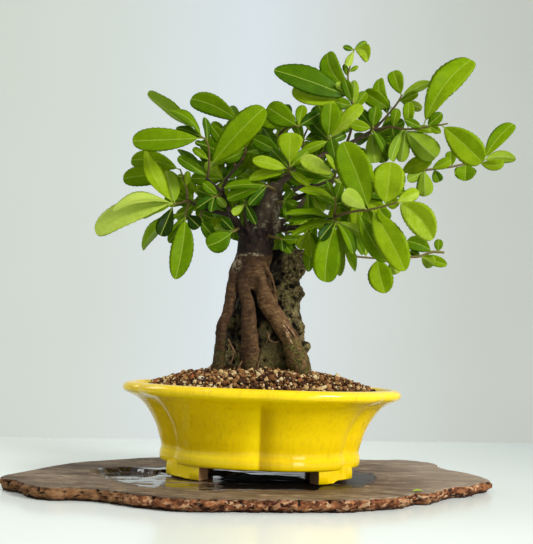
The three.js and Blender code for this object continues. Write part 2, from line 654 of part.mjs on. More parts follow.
function screenClip(side) {
  const over = potFloorTop + 2 * gap + screenThickness + wireRadius;
  const under = potFloorBottom - gap - wireRadius;
  const leg = screenPitch;
  const end = drainRadius + wireReach;
  const route = [
    [-end, under], [-leg - wireBend, under], [-leg, under + wireBend], [-leg, over - wireBend],
    [-leg + wireBend, over], [leg - wireBend, over], [leg, over - wireBend], [leg, under + wireBend],
    [leg + wireBend, under], [end, under],
  ].map(([x, z]) => new THREE.Vector3(side * drainOffset + x, 0, z));
  const path = new THREE.CatmullRomCurve3(route, false, "catmullrom", wireTension);
  const section = new THREE.Shape().absarc(0, 0, wireRadius, 0, 2 * Math.PI);
  return asManifold(new THREE.ExtrudeGeometry(section, {
    extrudePath: path, steps: 2 * (route.length - 1), curveSegments: wireSegments, bevelEnabled: false,
  }));
}

// Rock, as rows of across, down, seen width and depth through
const rockRows = [
  [268, 392, 84, 44], [268, 368, 87, 48], [265, 350, 81, 46], [264.5, 333, 80, 46],
  [264.5, 318, 77, 45], [266, 309, 69, 44], [270, 297, 62, 42], [272.5, 289, 58, 40],
  [275, 278, 50, 38], [280, 271, 51, 36], [284.8, 262, 45, 34], [286.8, 255, 42, 30],
  [287, 251, 26, 18],
];
const rockDepth = 14;
const rockSides = 13;
const rockRoughness = 0.13;
const rockWaves = { perSide: 2.3, perLevel: 1.7 }; // how fast the roughness changes, in radians
const knobProud = 4; // how much nearer the eye than the rock's middle the knobs lie
const rockKnobs = [[276, 254.5, 5], [287.5, 253.5, 5.5], [299.5, 254.5, 5], [304.8, 347, 5.2]];

function rock(grow = 0) {
  const rings = rockRows.map(([across, down, width, through], level) => {
    const centre = sight(across, down, rockDepth);
    const ring = [];
    for (let k = 0; k < rockSides; k += 1) {
      const turn = (2 * Math.PI * k) / rockSides;
      const wave = Math.sin(rockWaves.perSide * k + rockWaves.perLevel * level);
      const rough = 1 + rockRoughness * wave * Math.abs(Math.sin(turn));
      ring.push(new THREE.Vector3(
        centre.x + ((width / 2) * unitAt(rockDepth) * rough + grow) * Math.cos(turn),
        centre.y + ((through / 2) * rough + grow) * Math.sin(turn),
        centre.z + (level === 0 ? -grow : grow),
      ));
    }
    return ring;
  });
  const knobs = rockKnobs.map(([across, down, radius]) => {
    const ball = new THREE.IcosahedronGeometry(radius * unitAt(rockDepth) + grow, 1);
    const place = sight(across, down, rockDepth - knobProud);
    return asManifold(ball.translate(place.x, place.y, place.z));
  });
  return joined([asManifold(lofted(rings)), ...knobs]);
}

// Soil, heaped towards the roots. Half length, height and notch depth.
const soilMound = [[105.4, 80.2, 0.036], [94, 87.5, 0.02], [68, 95.5, 0.008], [34, 101, 0]];

function soil() {
  const underLip = potInside.slice(0, -2);
  const inside = underLip.map(([halfLength, z, notch]) => ovalRing(halfLength, z + gap, notch, gap));
  const mound = soilMound.map(([halfLength, z, notch]) => ovalRing(halfLength, z, notch, gap));
  let body = asManifold(lofted([...inside, ...mound], undefined, new THREE.Vector3(0, 0, soilTop)));
  for (const side of [-1, 1]) {
    const pocket = new THREE.BoxGeometry(screenSize + 2 * gap, screenSize + 2 * gap, pocketHeight);
    pocket.translate(side * drainOffset, 0, potFloorTop);
    body = body.subtract(asManifold(pocket));
  }
  return body;
}

// Leaves

// Half width along a leaf, as a share of its greatest: a stalk, then a blade widest past the middle
function leafOutline(along) {
  const blade = Math.max(0, (along - 0.08) / 0.92);
  return Math.sin(Math.PI * blade ** 1.25) ** 0.75;
}

// A leaf from base to tip. Side is 1 where the upper face is turned to the eye, or else -1.
function leafFrame({ base, tip, seenWidth, side }) {
  const along = tip.clone().sub(base);
  const length = along.length();
  along.normalize();
  const toEye = eye.clone().sub(base);
  toEye.addScaledVector(along, -toEye.dot(along)).normalize();
  const leftward = toEye.clone().cross(along);
  const upward = along.clone().cross(toEye);
  if (upward.z < 0) {
    upward.negate();
  }
  const width = Math.max(seenWidth, leafAspect * length);
  const facing = Math.min(1, seenWidth / width);
  const normal = toEye.multiplyScalar(side * facing);
  normal.addScaledVector(upward, Math.sqrt(1 - facing * facing));
  const across = normal.clone().cross(along).normalize();
  return { length, leftward, normal, across, width };
}

const leafStations = [0.12, 0.42, 0.78];
const outerPart = 0.3; // where a leaf starts to count as being in another leaf's way

function leafSolid(leaf, grow = 0, from = 0) {
  const { base, tip, bow } = leaf;
  const { length, leftward, normal, across, width } = leafFrame(leaf);
  const midrib = (t) => {
    const bulge = 4 * t * (1 - t);
    const place = base.clone().lerp(tip, t).addScaledVector(normal, leafArch * length * bulge);
    return place.addScaledVector(leftward, bow * bulge);
  };
  const rings = leafStations.filter((t) => t >= from).map((t) => {
    const half = Math.max(petioleWidth / 2, (width / 2) * leafOutline(t)) + grow;
    const flat = midrib(t).addScaledVector(normal, -grow);
    return [
      flat.clone().addScaledVector(across, half),
      midrib(t).addScaledVector(normal, leafThickness + grow),
      flat.addScaledVector(across, -half),
    ];
  });
  return asManifold(lofted(rings, midrib(from), tip));
}

// The place on a twig nearest to a seen place
function onTwig(rows, across, down) {
  let best = { distance: Infinity };
  for (let k = 0; k + 1 < rows.length; k += 1) {
    const [ax, ay, aDepth] = rows[k];
    const [bx, by, bDepth] = rows[k + 1];
    const [dx, dy] = [bx - ax, by - ay];
    const share = ((across - ax) * dx + (down - ay) * dy) / (dx * dx + dy * dy);
    const t = THREE.MathUtils.clamp(share, 0, lastShare);
    const seen = [ax + dx * t, ay + dy * t];
    const distance = Math.hypot(across - seen[0], down - seen[1]);
    if (distance < best.distance) {
      best = { distance, place: [...seen, aDepth + (bDepth - aDepth) * t] };
    }
  }
  return best.place;
}

// The leaf's tip may lie this much nearer or deeper than its row says, so that leaves pass each other
const leafShifts = [0, 5, -5, 10, -10, 15, -15, 21, -21, 28, -28];

function rowLeaf(rows, [baseAcross, baseDown, tipAcross, tipDown, width, lean, side, bow = 0]) {
  const place = onTwig(rows, baseAcross, baseDown);
  return leafShifts.map((shift) => ({
    base: sight(...place),
    tip: sight(tipAcross, tipDown, place[2] + lean + shift),
    seenWidth: width * unitAt(place[2]),
    side,
    bow: bow * unitAt(place[2]),
  }));
}

// Leaves of an inner shoot stand round its twig on a spiral and lean outward
const spiralTurn = THREE.MathUtils.degToRad(137.5);
const leafSpread = THREE.MathUtils.degToRad(62);
const extraTurns = [0, 0.35, -0.35, 0.7, -0.7]; // tried in this order, so that the leaf is clear of others

function spiralLeaf(rows, index) {
  const [start, end] = rows.map(([across, down, depth]) => sight(across, down, depth));
  const axis = end.clone().sub(start).normalize();
  const out = new THREE.Vector3(0, 0, 1).cross(axis).normalize();
  const share = index / (backLeafCount - 1);
  const base = start.clone().lerp(end, THREE.MathUtils.lerp(backLeafStart, lastShare, share));
  const length = backLeafLength * (1 - backLeafTaper * share);
  const spread = leafSpread * (1 - backSpreadTaper * share);
  return extraTurns.map((extraTurn) => {
    const aside = out.clone().applyAxisAngle(axis, spiralTurn * index + extraTurn);
    const way = axis.clone().multiplyScalar(Math.cos(spread)).addScaledVector(aside, Math.sin(spread));
    const tip = base.clone().addScaledVector(way, length);
    return { base, tip, seenWidth: backLeafWidth, side: 1, bow: 0 };
  });
}

function near(a, b) {
  const [p, q] = [a.boundingBox(), b.boundingBox()];
  return [0, 1, 2].every((k) => p.min[k] < q.max[k] && q.min[k] < p.max[k]);
}

function overlap(solid, others) {
  const close = others.filter((other) => near(solid, other));
  return close.reduce((sum, other) => sum + solid.intersect(other).volume(), 0);
}

// The first of a leaf's places that is clear of everything, or else the one that overlaps least
function placeLeaf(places, blocked, ownLeaves) {
  let best = { cost: Infinity };
  for (const leaf of places) {
    const whole = leafSolid(leaf, gap);
    const outer = leafSolid(leaf, gap, outerPart);
    const cost = overlap(whole, blocked) + overlap(outer, ownLeaves);
    if (cost < best.cost) {
      best = { cost, leaf };
    }
    if (cost === 0) {
      break;
    }
  }
  return best;
}

// Put together

const woodSides = (rows) => (rows[0][3] > thickLimbWidth ? thickLimbSides : thinLimbSides);
const tree = joined(Object.values(wood).map((rows) => limb(rows, woodSides(rows))));
const treeClearance = joined(Object.values(wood).map((rows) => limb(rows, woodSides(rows), clearance)));
const rockSolid = largestBody(rock().subtract(treeClearance));
const soilSolid = soil().subtract(treeClearance).subtract(rock(gap));
const potSolid = pot();

const twigRows = {};
for (const [name, { twig }] of Object.entries(shoots)) {
  twigRows[name] = twig;
}
for (const [name, ends] of Object.entries(innerShoots)) {
  twigRows[name] = ends.map((place, k) => [...place, innerTwigWidths[k]]);
}
const twigs = {};
const twigClearance = {};
for (const [name, rows] of Object.entries(twigRows)) {
  twigs[name] = limb(rows, twigSides);
  twigClearance[name] = limb(rows, twigSides, clearance);
}

const firmSolids = [tree, rockSolid, potSolid];
const placed = [];
for (const [name, rows] of Object.entries(twigRows)) {
  const choices = shoots[name]
    ? shoots[name].leaves.map((row) => rowLeaf(rows, row))
    : Array.from({ length: backLeafCount }, (_, index) => spiralLeaf(rows, index));
  const otherNames = Object.keys(twigClearance).filter((other) => other !== name);
  const otherTwigs = otherNames.map((other) => twigClearance[other]);
  const otherLeaves = placed.flatMap((shoot) => shoot.leaves);
  const own = [];
  const solids = [];
  const clearances = [];
  for (const places of choices) {
    const { cost, leaf } = placeLeaf(places, [...firmSolids, ...otherTwigs, ...otherLeaves], own);
    if (cost > 0 && !shoots[name]) {
      continue;
    }
    own.push(leafSolid(leaf, 0, outerPart));
    solids.push(leafSolid(leaf));
    clearances.push(leafSolid(leaf, gap));
  }
  placed.push({ name, leaves: solids, clearance: [twigClearance[name], ...clearances] });
}

const shootSolids = {};
for (const [index, { name, leaves }] of placed.entries()) {
  let body = joined([twigs[name], ...leaves]).subtract(treeClearance);
  for (const earlier of placed.slice(0, index)) {
    for (const solid of earlier.clearance.filter((other) => near(other, body))) {
      body = body.subtract(solid);
    }
  }
  shootSolids[name] = largestBody(body);
}

function piece(name, solid, color, roughness, metalness = 0) {
  const material = new THREE.MeshStandardMaterial({ color, roughness, metalness });
  const mesh = new THREE.Mesh(asGeometry(solid), material);
  mesh.name = name;
  return mesh;
}

const bonsai = new THREE.Group();
bonsai.add(piece("display_slab", slab(), 0x93857a, 0.6));
bonsai.add(piece("pot", potSolid, 0xd2b000, 0.2));
bonsai.add(piece("drain_screen_left", drainScreen(-1), 0x1d1f1e, 0.6));
bonsai.add(piece("drain_screen_right", drainScreen(1), 0x1d1f1e, 0.6));
bonsai.add(piece("screen_clip_left", screenClip(-1), 0xa8a8a4, 0.4, 1));
bonsai.add(piece("screen_clip_right", screenClip(1), 0xa8a8a4, 0.4, 1));
bonsai.add(piece("soil_bed", soilSolid, 0x5a3b28, 1));
bonsai.add(piece("rock", rockSolid, 0x3b3526, 0.9));
bonsai.add(piece("trunk", tree, 0x6a5740, 0.9));
for (const [name, solid] of Object.entries(shootSolids)) {
  bonsai.add(piece(name, solid, 0x76a018, 0.5));
}

export default bonsai;
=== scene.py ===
# %% [markdown]
# # A firethorn bonsai, grown over a rock
#
# The real tree is about 40 cm high with its pot and the wood under it. Its roots grip an upright stone, and
# it stands in a glazed pot with six lobes, on a slice of wood that has kept its live edge. This lesson builds
# the looks of each piece round a CAD model that is already packed and never moves.
#
# The first cell loads that model as the frame.

import json
import math

import bmesh
import bpy
import numpy as np
from mathutils import Matrix, Vector, noise
from mathutils.bvhtree import BVHTree
from mathutils.kdtree import KDTree

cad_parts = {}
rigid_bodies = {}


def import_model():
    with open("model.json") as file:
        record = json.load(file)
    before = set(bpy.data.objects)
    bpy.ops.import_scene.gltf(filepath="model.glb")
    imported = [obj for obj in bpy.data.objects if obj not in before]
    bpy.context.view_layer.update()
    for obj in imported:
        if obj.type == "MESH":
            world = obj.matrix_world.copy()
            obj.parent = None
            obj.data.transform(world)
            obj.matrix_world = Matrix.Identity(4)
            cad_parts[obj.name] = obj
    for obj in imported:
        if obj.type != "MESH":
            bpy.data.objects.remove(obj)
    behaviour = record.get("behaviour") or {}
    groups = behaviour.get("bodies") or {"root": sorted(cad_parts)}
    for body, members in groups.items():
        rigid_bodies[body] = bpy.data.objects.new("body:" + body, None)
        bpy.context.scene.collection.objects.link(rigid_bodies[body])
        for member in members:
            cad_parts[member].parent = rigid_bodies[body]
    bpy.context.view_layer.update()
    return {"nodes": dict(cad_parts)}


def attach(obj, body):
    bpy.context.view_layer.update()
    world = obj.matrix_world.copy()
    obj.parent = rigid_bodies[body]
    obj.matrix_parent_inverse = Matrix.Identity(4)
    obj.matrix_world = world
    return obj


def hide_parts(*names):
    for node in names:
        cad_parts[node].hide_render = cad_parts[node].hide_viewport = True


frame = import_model()

# %% [markdown]
# ## The eye
#
# A plant has no drawing to measure from, so each limb and leaf was placed as it is seen: how far across and
# how far down it appears, and how deep it lies. `sight` turns such a reading into a point in millimetres.
# The camera could be placed by eye, but here it stands in the very point that the readings came from.

# %% Turn a reading into a point
mm = 0.001
eye = np.array((0.1, -770.0, 118.2))
eye_length = 879.0  # picture units from the eye to the picture
picture_middle = (266.5, 272.0)
picture_height = 544
eye_pitch = math.radians(4.98)
eye_roll = math.radians(2.1)


def sight(across, down, depth):
    """The point in millimetres that is seen at a place of the picture, at a depth behind the pot."""
    dx = across - picture_middle[0]
    dy = picture_middle[1] - down
    u = (dx * math.cos(eye_roll) - dy * math.sin(eye_roll)) / eye_length
    v = (dx * math.sin(eye_roll) + dy * math.cos(eye_roll)) / eye_length
    ray = np.array((
        u,
        math.cos(eye_pitch) - v * math.sin(eye_pitch),
        math.sin(eye_pitch) + v * math.cos(eye_pitch),
    ))
    return eye + ray * (depth - eye[1]) / ray[1]


def unit_at(depth):
    """Millimetres in one picture unit at a depth."""
    return (depth - eye[1]) / eye_length


print("One picture unit at the pot's middle is", round(unit_at(0), 3), "mm")

# %% Set up the camera
sensor = 36.0
camera_data = bpy.data.cameras.new("eye")
camera_data.sensor_width = sensor
camera_data.lens = sensor * eye_length / picture_height
camera = bpy.data.objects.new("eye", camera_data)
bpy.context.collection.objects.link(camera)
look_level = Matrix.Rotation(math.radians(90) + eye_pitch, 4, "X")
camera.matrix_world = (
    Matrix.Translation(Vector(eye * mm)) @ look_level @ Matrix.Rotation(eye_roll, 4, "Z")
)
bpy.context.scene.camera = camera
print("Lens of", round(camera_data.lens, 1), "mm")

# %% [markdown]
# ## Helpers for meshes
#
# Every piece is made from lists of points in millimetres. A mesh could be drawn by hand in the viewport, but
# a script that computes its points can be read, changed and run again with the same result.

# %% Helpers for meshes


def make_piece(name, points, faces, materials, material_index=None, smooth=True):
    """A mesh object from points in millimetres."""
    mesh = bpy.data.meshes.new(name)
    mesh.from_pydata((np.asarray(points) * mm).tolist(), [], [tuple(face) for face in faces])
    for material in materials:
        mesh.materials.append(material)
    if material_index is not None:
        mesh.polygons.foreach_set("material_index", np.asarray(material_index, dtype=np.int32))
    mesh.polygons.foreach_set("use_smooth", np.full(len(mesh.polygons), smooth))
    mesh.update()
    piece = bpy.data.objects.new(name, mesh)
    bpy.context.collection.objects.link(piece)
    return piece


def keep_numbers(piece, name, values):
    """Stores a number, or a row of three, for each point, where a material can read it."""
    values = np.asarray(values, dtype=np.float32)
    kind, field = ("FLOAT_VECTOR", "vector") if values.ndim == 2 else ("FLOAT", "value")
    piece.data.attributes.new(name, kind, "POINT").data.foreach_set(field, values.ravel())


def read_rows(items, name):
    """Three numbers of each item, as rows."""
    flat = np.empty(len(items) * 3, dtype=np.float32)
    items.foreach_get(name, flat)
    return flat.reshape(-1, 3).astype(float)


def points_of(piece):
    """A piece's points in millimetres."""
    return read_rows(piece.data.vertices, "co") / mm


def normals_of(piece):
    return read_rows(piece.data.vertex_normals, "vector")


def move_points(piece, points):
    piece.data.vertices.foreach_set("co", (np.asarray(points) * mm).astype(np.float32).ravel())
    piece.data.update()


def apply_modifiers(piece):
    """Swaps a piece's mesh for what its modifiers make of it."""
    shown = piece.evaluated_get(bpy.context.evaluated_depsgraph_get())
    finished = bpy.data.meshes.new_from_object(shown)
    rough = piece.data
    piece.modifiers.clear()
    piece.data = finished
    bpy.data.meshes.remove(rough)


def grown_together(piece, grain):
    """Melts overlapping bodies into one skin whose faces are about `grain` millimetres wide."""
    remesh = piece.modifiers.new("grown together", "REMESH")
    remesh.mode = "VOXEL"
    remesh.voxel_size = grain * mm
    remesh.use_smooth_shade = True
    apply_modifiers(piece)


def count_triangles(piece):
    return sum(len(face.vertices) - 2 for face in piece.data.polygons)


def place_piece(piece, slot, *nodes):
    """Rides a piece on the one body and hides the CAD nodes that it stands for. Its slot is not used."""
    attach(piece, "root")
    if nodes:
        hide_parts(*nodes)
    print(piece.name, "has", count_triangles(piece), "triangles")


# %% [markdown]
# Limbs, twigs and rootlets are all tubes that bend and taper. A curve object with a bevel could do this, but
# a tube made here keeps its rings, so that each limb can swell and be fluted where the bark is. Pot, slab,
# rock and leaves are stacks of rings too, and the same few lines put a skin round all of them.

# %% Rings, skins and tubes
thinnest_seen = 0.6  # picture units, so that no twig gets lost


def smooth_rows(rows, parts):
    """Rows of numbers with more rows between them, on a smooth curve through the given ones."""
    rows = np.asarray(rows, dtype=float)
    padded = np.vstack([2 * rows[0] - rows[1], rows, 2 * rows[-1] - rows[-2]])
    out = []
    for k in range(1, len(padded) - 2):
        a, b, c, d = padded[k - 1:k + 3]
        for step in range(parts):
            t = step / parts
            out.append(0.5 * (2 * b + (c - a) * t + (2 * a - 5 * b + 4 * c - d) * t ** 2
                              + (3 * b - a - 3 * c + d) * t ** 3))
    out.append(rows[-1])
    return np.array(out)


def unit(vector):
    return vector / np.linalg.norm(vector)


def turns_round(sides):
    """Evenly spaced angles round a ring."""
    return np.arange(sides) * 2 * math.pi / sides


def level_ring(middle, half_x, half_y, sides):
    """A level oval ring of points round a middle."""
    turns = turns_round(sides)
    return np.column_stack([
        middle[0] + half_x * np.cos(turns), middle[1] + half_y * np.sin(turns), np.full(sides, middle[2]),
    ])


def ring_skin(rings):
    """Faces of a closed skin through rings of equal count that turn left about the way they go."""
    sides = len(rings[0])
    last = (len(rings) - 1) * sides
    faces = []
    for first in range(0, last, sides):
        for k in range(sides):
            a, b = first + k, first + (k + 1) % sides
            faces.append((a, b, b + sides, a + sides))
    return faces + [tuple(range(sides - 1, -1, -1)), tuple(range(last, last + sides))]


class Body:
    """Points and faces that are gathered part by part."""

    def __init__(self):
        self.points, self.faces = [], []

    def add(self, points, faces):
        first = len(self.points)
        self.points.extend(points)
        self.faces.extend([index + first for index in face] for face in faces)

    def add_rings(self, rings):
        self.add(np.vstack(rings), ring_skin(rings))


def tube(centres, radii, sides):
    """The rings of a round tube."""
    ways = np.gradient(centres, axis=0)
    ways /= np.linalg.norm(ways, axis=1)[:, None]
    side_way = unit(np.cross(ways[0], (0.3, 1.0, 0.1)))  # a way that no tube starts in
    turns = turns_round(sides)[:, None]
    rings = []
    for centre, way, radius in zip(centres, ways, radii):
        side_way = unit(side_way - way * side_way.dot(way))
        up_way = np.cross(way, side_way)
        rings.append(centre + radius * (np.cos(turns) * side_way + np.sin(turns) * up_way))
    return rings


def seen_tube(rows, sides, parts):
    """The rings of a tube from readings of across, down, depth and seen width."""
    rows = smooth_rows(rows, parts)
    radii = [max(row[3], thinnest_seen) / 2 * unit_at(row[2]) for row in rows]
    return tube([sight(*row[:3]) for row in rows], radii, sides)


# %% [markdown]
# ## Helpers for finishes
#
# A finish is a small graph of nodes. Each could be wired by hand in the shader editor. These few helpers
# make the same nodes from short lines, so that a finish reads like a recipe.

# %% Helpers for finishes


def paint(red, green, blue):
    """A colour given as it looks on a screen, from 0 to 255, as the light that Blender counts with."""
    light = [c / 255 / 12.92 if c <= 10 else ((c / 255 + 0.055) / 1.055) ** 2.4 for c in (red, green, blue)]
    return (*light, 1.0)


class Finish:
    """A material with one Principled shader, and short names for the nodes that feed it."""

    def __init__(self, name, roughness=0.5, specular=0.5):
        self.material = bpy.data.materials.new(name)
        self.material.use_nodes = True
        self.tree = self.material.node_tree
        self.surface = self.tree.nodes["Principled BSDF"]
        self.output = self.tree.nodes["Material Output"]
        self.set("Roughness", roughness)
        self.set("Specular IOR Level", specular)

    def feed(self, socket, value):
        """Links a socket to another one, or gives it a plain value."""
        if isinstance(value, bpy.types.NodeSocket):
            self.tree.links.new(value, socket)
        elif value is not None:
            socket.default_value = value

    def set(self, name, value):
        self.feed(self.surface.inputs[name], value)

    def node(self, kind, **settings):
        made = self.tree.nodes.new("ShaderNode" + kind)
        for name, value in settings.items():
            setattr(made, name, value)
        return made

    def place(self, stretch=(1, 1, 1)):
        """Where a point is, in millimetres, stretched along each axis."""
        mapping = self.node("Mapping")
        mapping.inputs["Scale"].default_value = [s / mm for s in stretch]
        self.feed(mapping.inputs["Vector"], self.node("TexCoord").outputs["Object"])
        return mapping.outputs["Vector"]

    def parts(self, vector):
        """A vector's X, Y and Z."""
        made = self.node("SeparateXYZ")
        self.feed(made.inputs["Vector"], vector)
        return [made.outputs[axis] for axis in "XYZ"]

    def axes(self):
        """How far a point lies along X, Y and Z, in millimetres."""
        return self.parts(self.place())

    def kept(self, name, output="Fac"):
        """A number, or a row of three, that the mesh stores for each point."""
        return self.node("Attribute", attribute_name=name).outputs[output]

    def noise(self, size, detail=3, rough=0.5, stretch=(1, 1, 1), distortion=0.0):
        """Cloudy noise whose patches are about `size` millimetres wide."""
        made = self.node("TexNoise")
        self.feed(made.inputs["Vector"], self.place(stretch))
        made.inputs["Scale"].default_value = 1 / size
        made.inputs["Detail"].default_value = detail
        made.inputs["Roughness"].default_value = rough
        made.inputs["Distortion"].default_value = distortion
        return made.outputs["Fac"]

    def cells(self, size, feature="F1", stretch=(1, 1, 1), output="Distance"):
        """Voronoi cells about `size` millimetres wide."""
        made = self.node("TexVoronoi", feature=feature)
        self.feed(made.inputs["Vector"], self.place(stretch))
        made.inputs["Scale"].default_value = 1 / size
        return made.outputs[output]

    def math(self, operation, a, b=0.0, clamp=False):
        made = self.node("Math", operation=operation, use_clamp=clamp)
        self.feed(made.inputs[0], a)
        self.feed(made.inputs[1], b)
        return made.outputs[0]

    def times(self, product, *values):
        for value in values:
            product = self.math("MULTIPLY", product, value)
        return product

    def rest(self, share):
        """What a share leaves of one."""
        return self.math("SUBTRACT", 1.0, share)

    def between(self, value, low, high, out_low=0.0, out_high=1.0):
        """0 where value is at low, 1 where it is at high, smooth in between."""
        made = self.node("MapRange", interpolation_type="SMOOTHSTEP")
        limits = {"From Min": low, "From Max": high, "To Min": out_low, "To Max": out_high}
        for name, number in limits.items():
            made.inputs[name].default_value = number
        self.feed(made.inputs["Value"], value)
        return made.outputs["Result"]

    def ramp(self, value, *stops, blended=True):
        """A colour for each value, from stops of (value, colour)."""
        made = self.node("ValToRGB")
        ramp = made.color_ramp
        ramp.interpolation = "LINEAR" if blended else "CONSTANT"
        while len(ramp.elements) < len(stops):
            ramp.elements.new(0.5)
        for element, (position, color) in zip(ramp.elements, stops):
            element.position = position
            element.color = color
        self.feed(made.inputs["Fac"], value)
        return made.outputs["Color"]

    def mix(self, share, a, b, blend="MIX"):
        """Colour a, with a share of colour b."""
        made = self.node("Mix", data_type="RGBA", blend_type=blend, clamp_factor=True)
        self.feed(made.inputs[0], share)
        self.feed(made.inputs[6], a)
        self.feed(made.inputs[7], b)
        return made.outputs[2]

    def layers(self, tone, *coats):
        """A colour under coats of (share, colour) or (share, colour, blend).

        A share is a value, or the row of values that `between` makes it from.
        """
        for share, color, *blend in coats:
            if isinstance(share, tuple):
                share = self.between(*share)
            tone = self.mix(share, tone, color, *blend)
        return tone

    def overlay(self, kind, color, share):
        """Lets a share of the light be handled by another shader of one colour."""
        other, both = self.node("Bsdf" + kind), self.node("MixShader")
        self.feed(other.inputs["Color"], color)
        self.feed(both.inputs["Fac"], share)
        self.feed(both.inputs[1], self.surface.outputs["BSDF"])
        self.feed(both.inputs[2], other.outputs["BSDF"])
        self.feed(self.output.inputs["Surface"], both.outputs["Shader"])

    def spots(self, *spots):
        """1 at the middle of each spot, 0 outside. A spot is its X and Z and its half sizes along them."""
        x, _, z = self.axes()
        total = 0.0
        for middle_x, middle_z, half_x, half_z in spots:
            off_x = self.math("DIVIDE", self.math("SUBTRACT", x, middle_x), half_x)
            off_z = self.math("DIVIDE", self.math("SUBTRACT", z, middle_z), half_z)
            off = self.math("ADD", self.times(off_x, off_x), self.times(off_z, off_z))
            total = self.math("MAXIMUM", total, self.between(off, 1.0, 0.0))
        return total

    def bump(self, height, distance, strength=1.0, below=None):
        """Relief of `distance` millimetres."""
        made = self.node("Bump")
        made.inputs["Strength"].default_value = strength
        made.inputs["Distance"].default_value = distance * mm
        self.feed(made.inputs["Height"], height)
        self.feed(made.inputs["Normal"], below)
        return made.outputs["Normal"]


# %% [markdown]
# ## Studio
#
# The tree stands on a pale, slightly glossy table in front of a pale wall, and soft light comes from the
# right. A studio could be lit with many small lamps, but one large soft lamp and a pale sky give the same
# broad highlights on the glaze, with few settings to learn.

# %% Table, wall and light
bpy.context.scene.view_settings.view_transform = "Standard"
table_corners = [(-3000, -2500), (3000, -2500), (3000, 1120), (-3000, -350)]  # X and Y, the far edge askew
wall_corners = [(-4000, -1500), (4000, -1500), (4000, 3500), (-4000, 3500)]  # X and Z
wall_distance = 2600.0
wall_lit_reach = 1100.0  # how far to each side the wall's own light changes
sky_color = (0.93, 0.97, 1.0, 1.0)
sky_strength = 0.44

table_finish = Finish("pale table", roughness=0.2)
table_tone = table_finish.mix(table_finish.noise(180, detail=2), paint(230, 237, 230), paint(237, 243, 236))
# Toward the right the table is painted greyer: painted shade.
table_side = table_finish.between(table_finish.axes()[0], 60, 520)
table_finish.set("Base Color", table_finish.mix(table_side, table_tone, paint(197, 207, 205)))
wall_finish = Finish("pale wall", roughness=0.9)
wall_finish.set("Base Color", wall_finish.mix(
    wall_finish.noise(500, detail=1), paint(214, 217, 212), paint(222, 225, 221)
))
wall_side = wall_finish.between(wall_finish.axes()[0], -wall_lit_reach, wall_lit_reach)
# The wall glows with painted light, brightest and bluest a little left of the middle and dimmest at the
# right.
wall_finish.set("Emission Color", wall_finish.ramp(
    wall_side, (0.0, (0.275, 0.3, 0.24, 1)), (0.45, (0.34, 0.385, 0.43, 1)), (0.75, (0.26, 0.28, 0.26, 1)),
    (1.0, (0.18, 0.19, 0.145, 1)),
))
wall_finish.set("Emission Strength", 1.0)

sheet = [(0, 1, 2, 3)]
table = make_piece(
    "table", [(x, y, 0) for x, y in table_corners], sheet, [table_finish.material], smooth=False,
)
wall = make_piece(
    "wall", [(x, wall_distance, z) for x, z in wall_corners], sheet, [wall_finish.material], smooth=False,
)


def soft_lamp(name, place, aim, size, power):
    """A square lamp, placed and aimed in millimetres."""
    data = bpy.data.lights.new(name, "AREA")
    data.size = size * mm
    data.energy = power
    lamp = bpy.data.objects.new(name, data)
    lamp.location = Vector(place) * mm
    lamp.rotation_euler = (Vector(aim) - Vector(place)).to_track_quat("-Z", "Y").to_euler()
    bpy.context.collection.objects.link(lamp)


world = bpy.data.worlds.new("pale room")
world.use_nodes = True
sky = world.node_tree.nodes["Background"].inputs
sky["Color"].default_value = sky_color
sky["Strength"].default_value = sky_strength
bpy.context.scene.world = world
soft_lamp("key", (900, -750, 800), (0, 0, 150), 380, 19)
soft_lamp("rim light", (-900, 200, 700), (0, 0, 150), 500, 4)
soft_lamp("low window", (810, -1230, 130), (30, -70, 30), 330, 3)
soft_lamp("high window", (-480, -400, 900), (-40, -80, 90), 130, 0.9)
print("Stage is ready, with sky", sky_strength)

# %% [markdown]
# ## Pot
#
# The real pot was pressed or thrown, cut into six lobes and glazed a deep yellow. Its wall leans out to a
# rolled lip, a belt runs round its foot, and it stands on four bracket feet. It could be one lathe shape
# with dents, but each ring here is an oval that dips at the lobes' creases, so that they run on over the lip.

# %% Pot profile
rim_half_length = 120.2
rim_half_depth = 92.0
depth_per_length = 0.83
lobes = 6
pot_sides = 288
crease_softness = 0.003
# Half length, height and crease depth, from the underside out and up over the lip
pot_outside = [
    (81.5, 20.5, 0.045), (85.2, 21.5, 0.052), (86.3, 24.5, 0.055), (86.2, 28.5, 0.058),
    (85.4, 31.5, 0.064), (85.6, 35.5, 0.07), (87.7, 42, 0.072), (90.3, 50, 0.072), (94.4, 58, 0.07),
    (99.7, 66, 0.064), (104, 70.5, 0.058), (108.5, 73.8, 0.05), (113.5, 76.2, 0.044),
    (117.6, 78, 0.038), (119.8, 80, 0.034), (120.2, 82.2, 0.032), (119.2, 84.3, 0.032),
    (116.8, 86, 0.032), (113, 86.6, 0.032),
]
pot_inside = [
    (109.5, 84.6, 0.034), (105.5, 80.2, 0.036), (100.5, 75, 0.04), (92, 66, 0.045), (84.5, 52, 0.045),
    (80.5, 38, 0.045), (78.5, 29.5, 0.045), (75, 27, 0.04),
]


def half_depth_of(half_length):
    """How deep an oval of the pot is on each side of its long axis."""
    return rim_half_depth + (half_length - rim_half_length) * depth_per_length


def oval_ring(half_length, height, crease_depth, inset=0.0, sides=pot_sides):
    """One ring of the pot."""
    along_lobe = np.sqrt(np.cos(lobes / 2 * turns_round(sides)) ** 2 + crease_softness)
    scale = 1 - crease_depth * np.clip(1 - along_lobe, 0, None) ** 2
    return level_ring(
        (0, 0, height), half_length * scale - inset, half_depth_of(half_length) * scale - inset, sides,
    )


pot_rings = [oval_ring(*row) for row in smooth_rows(pot_outside + pot_inside, 4)]
print("The pot's skin has", len(pot_rings), "rings, and its lip is", round(2 * rim_half_length), "mm long")
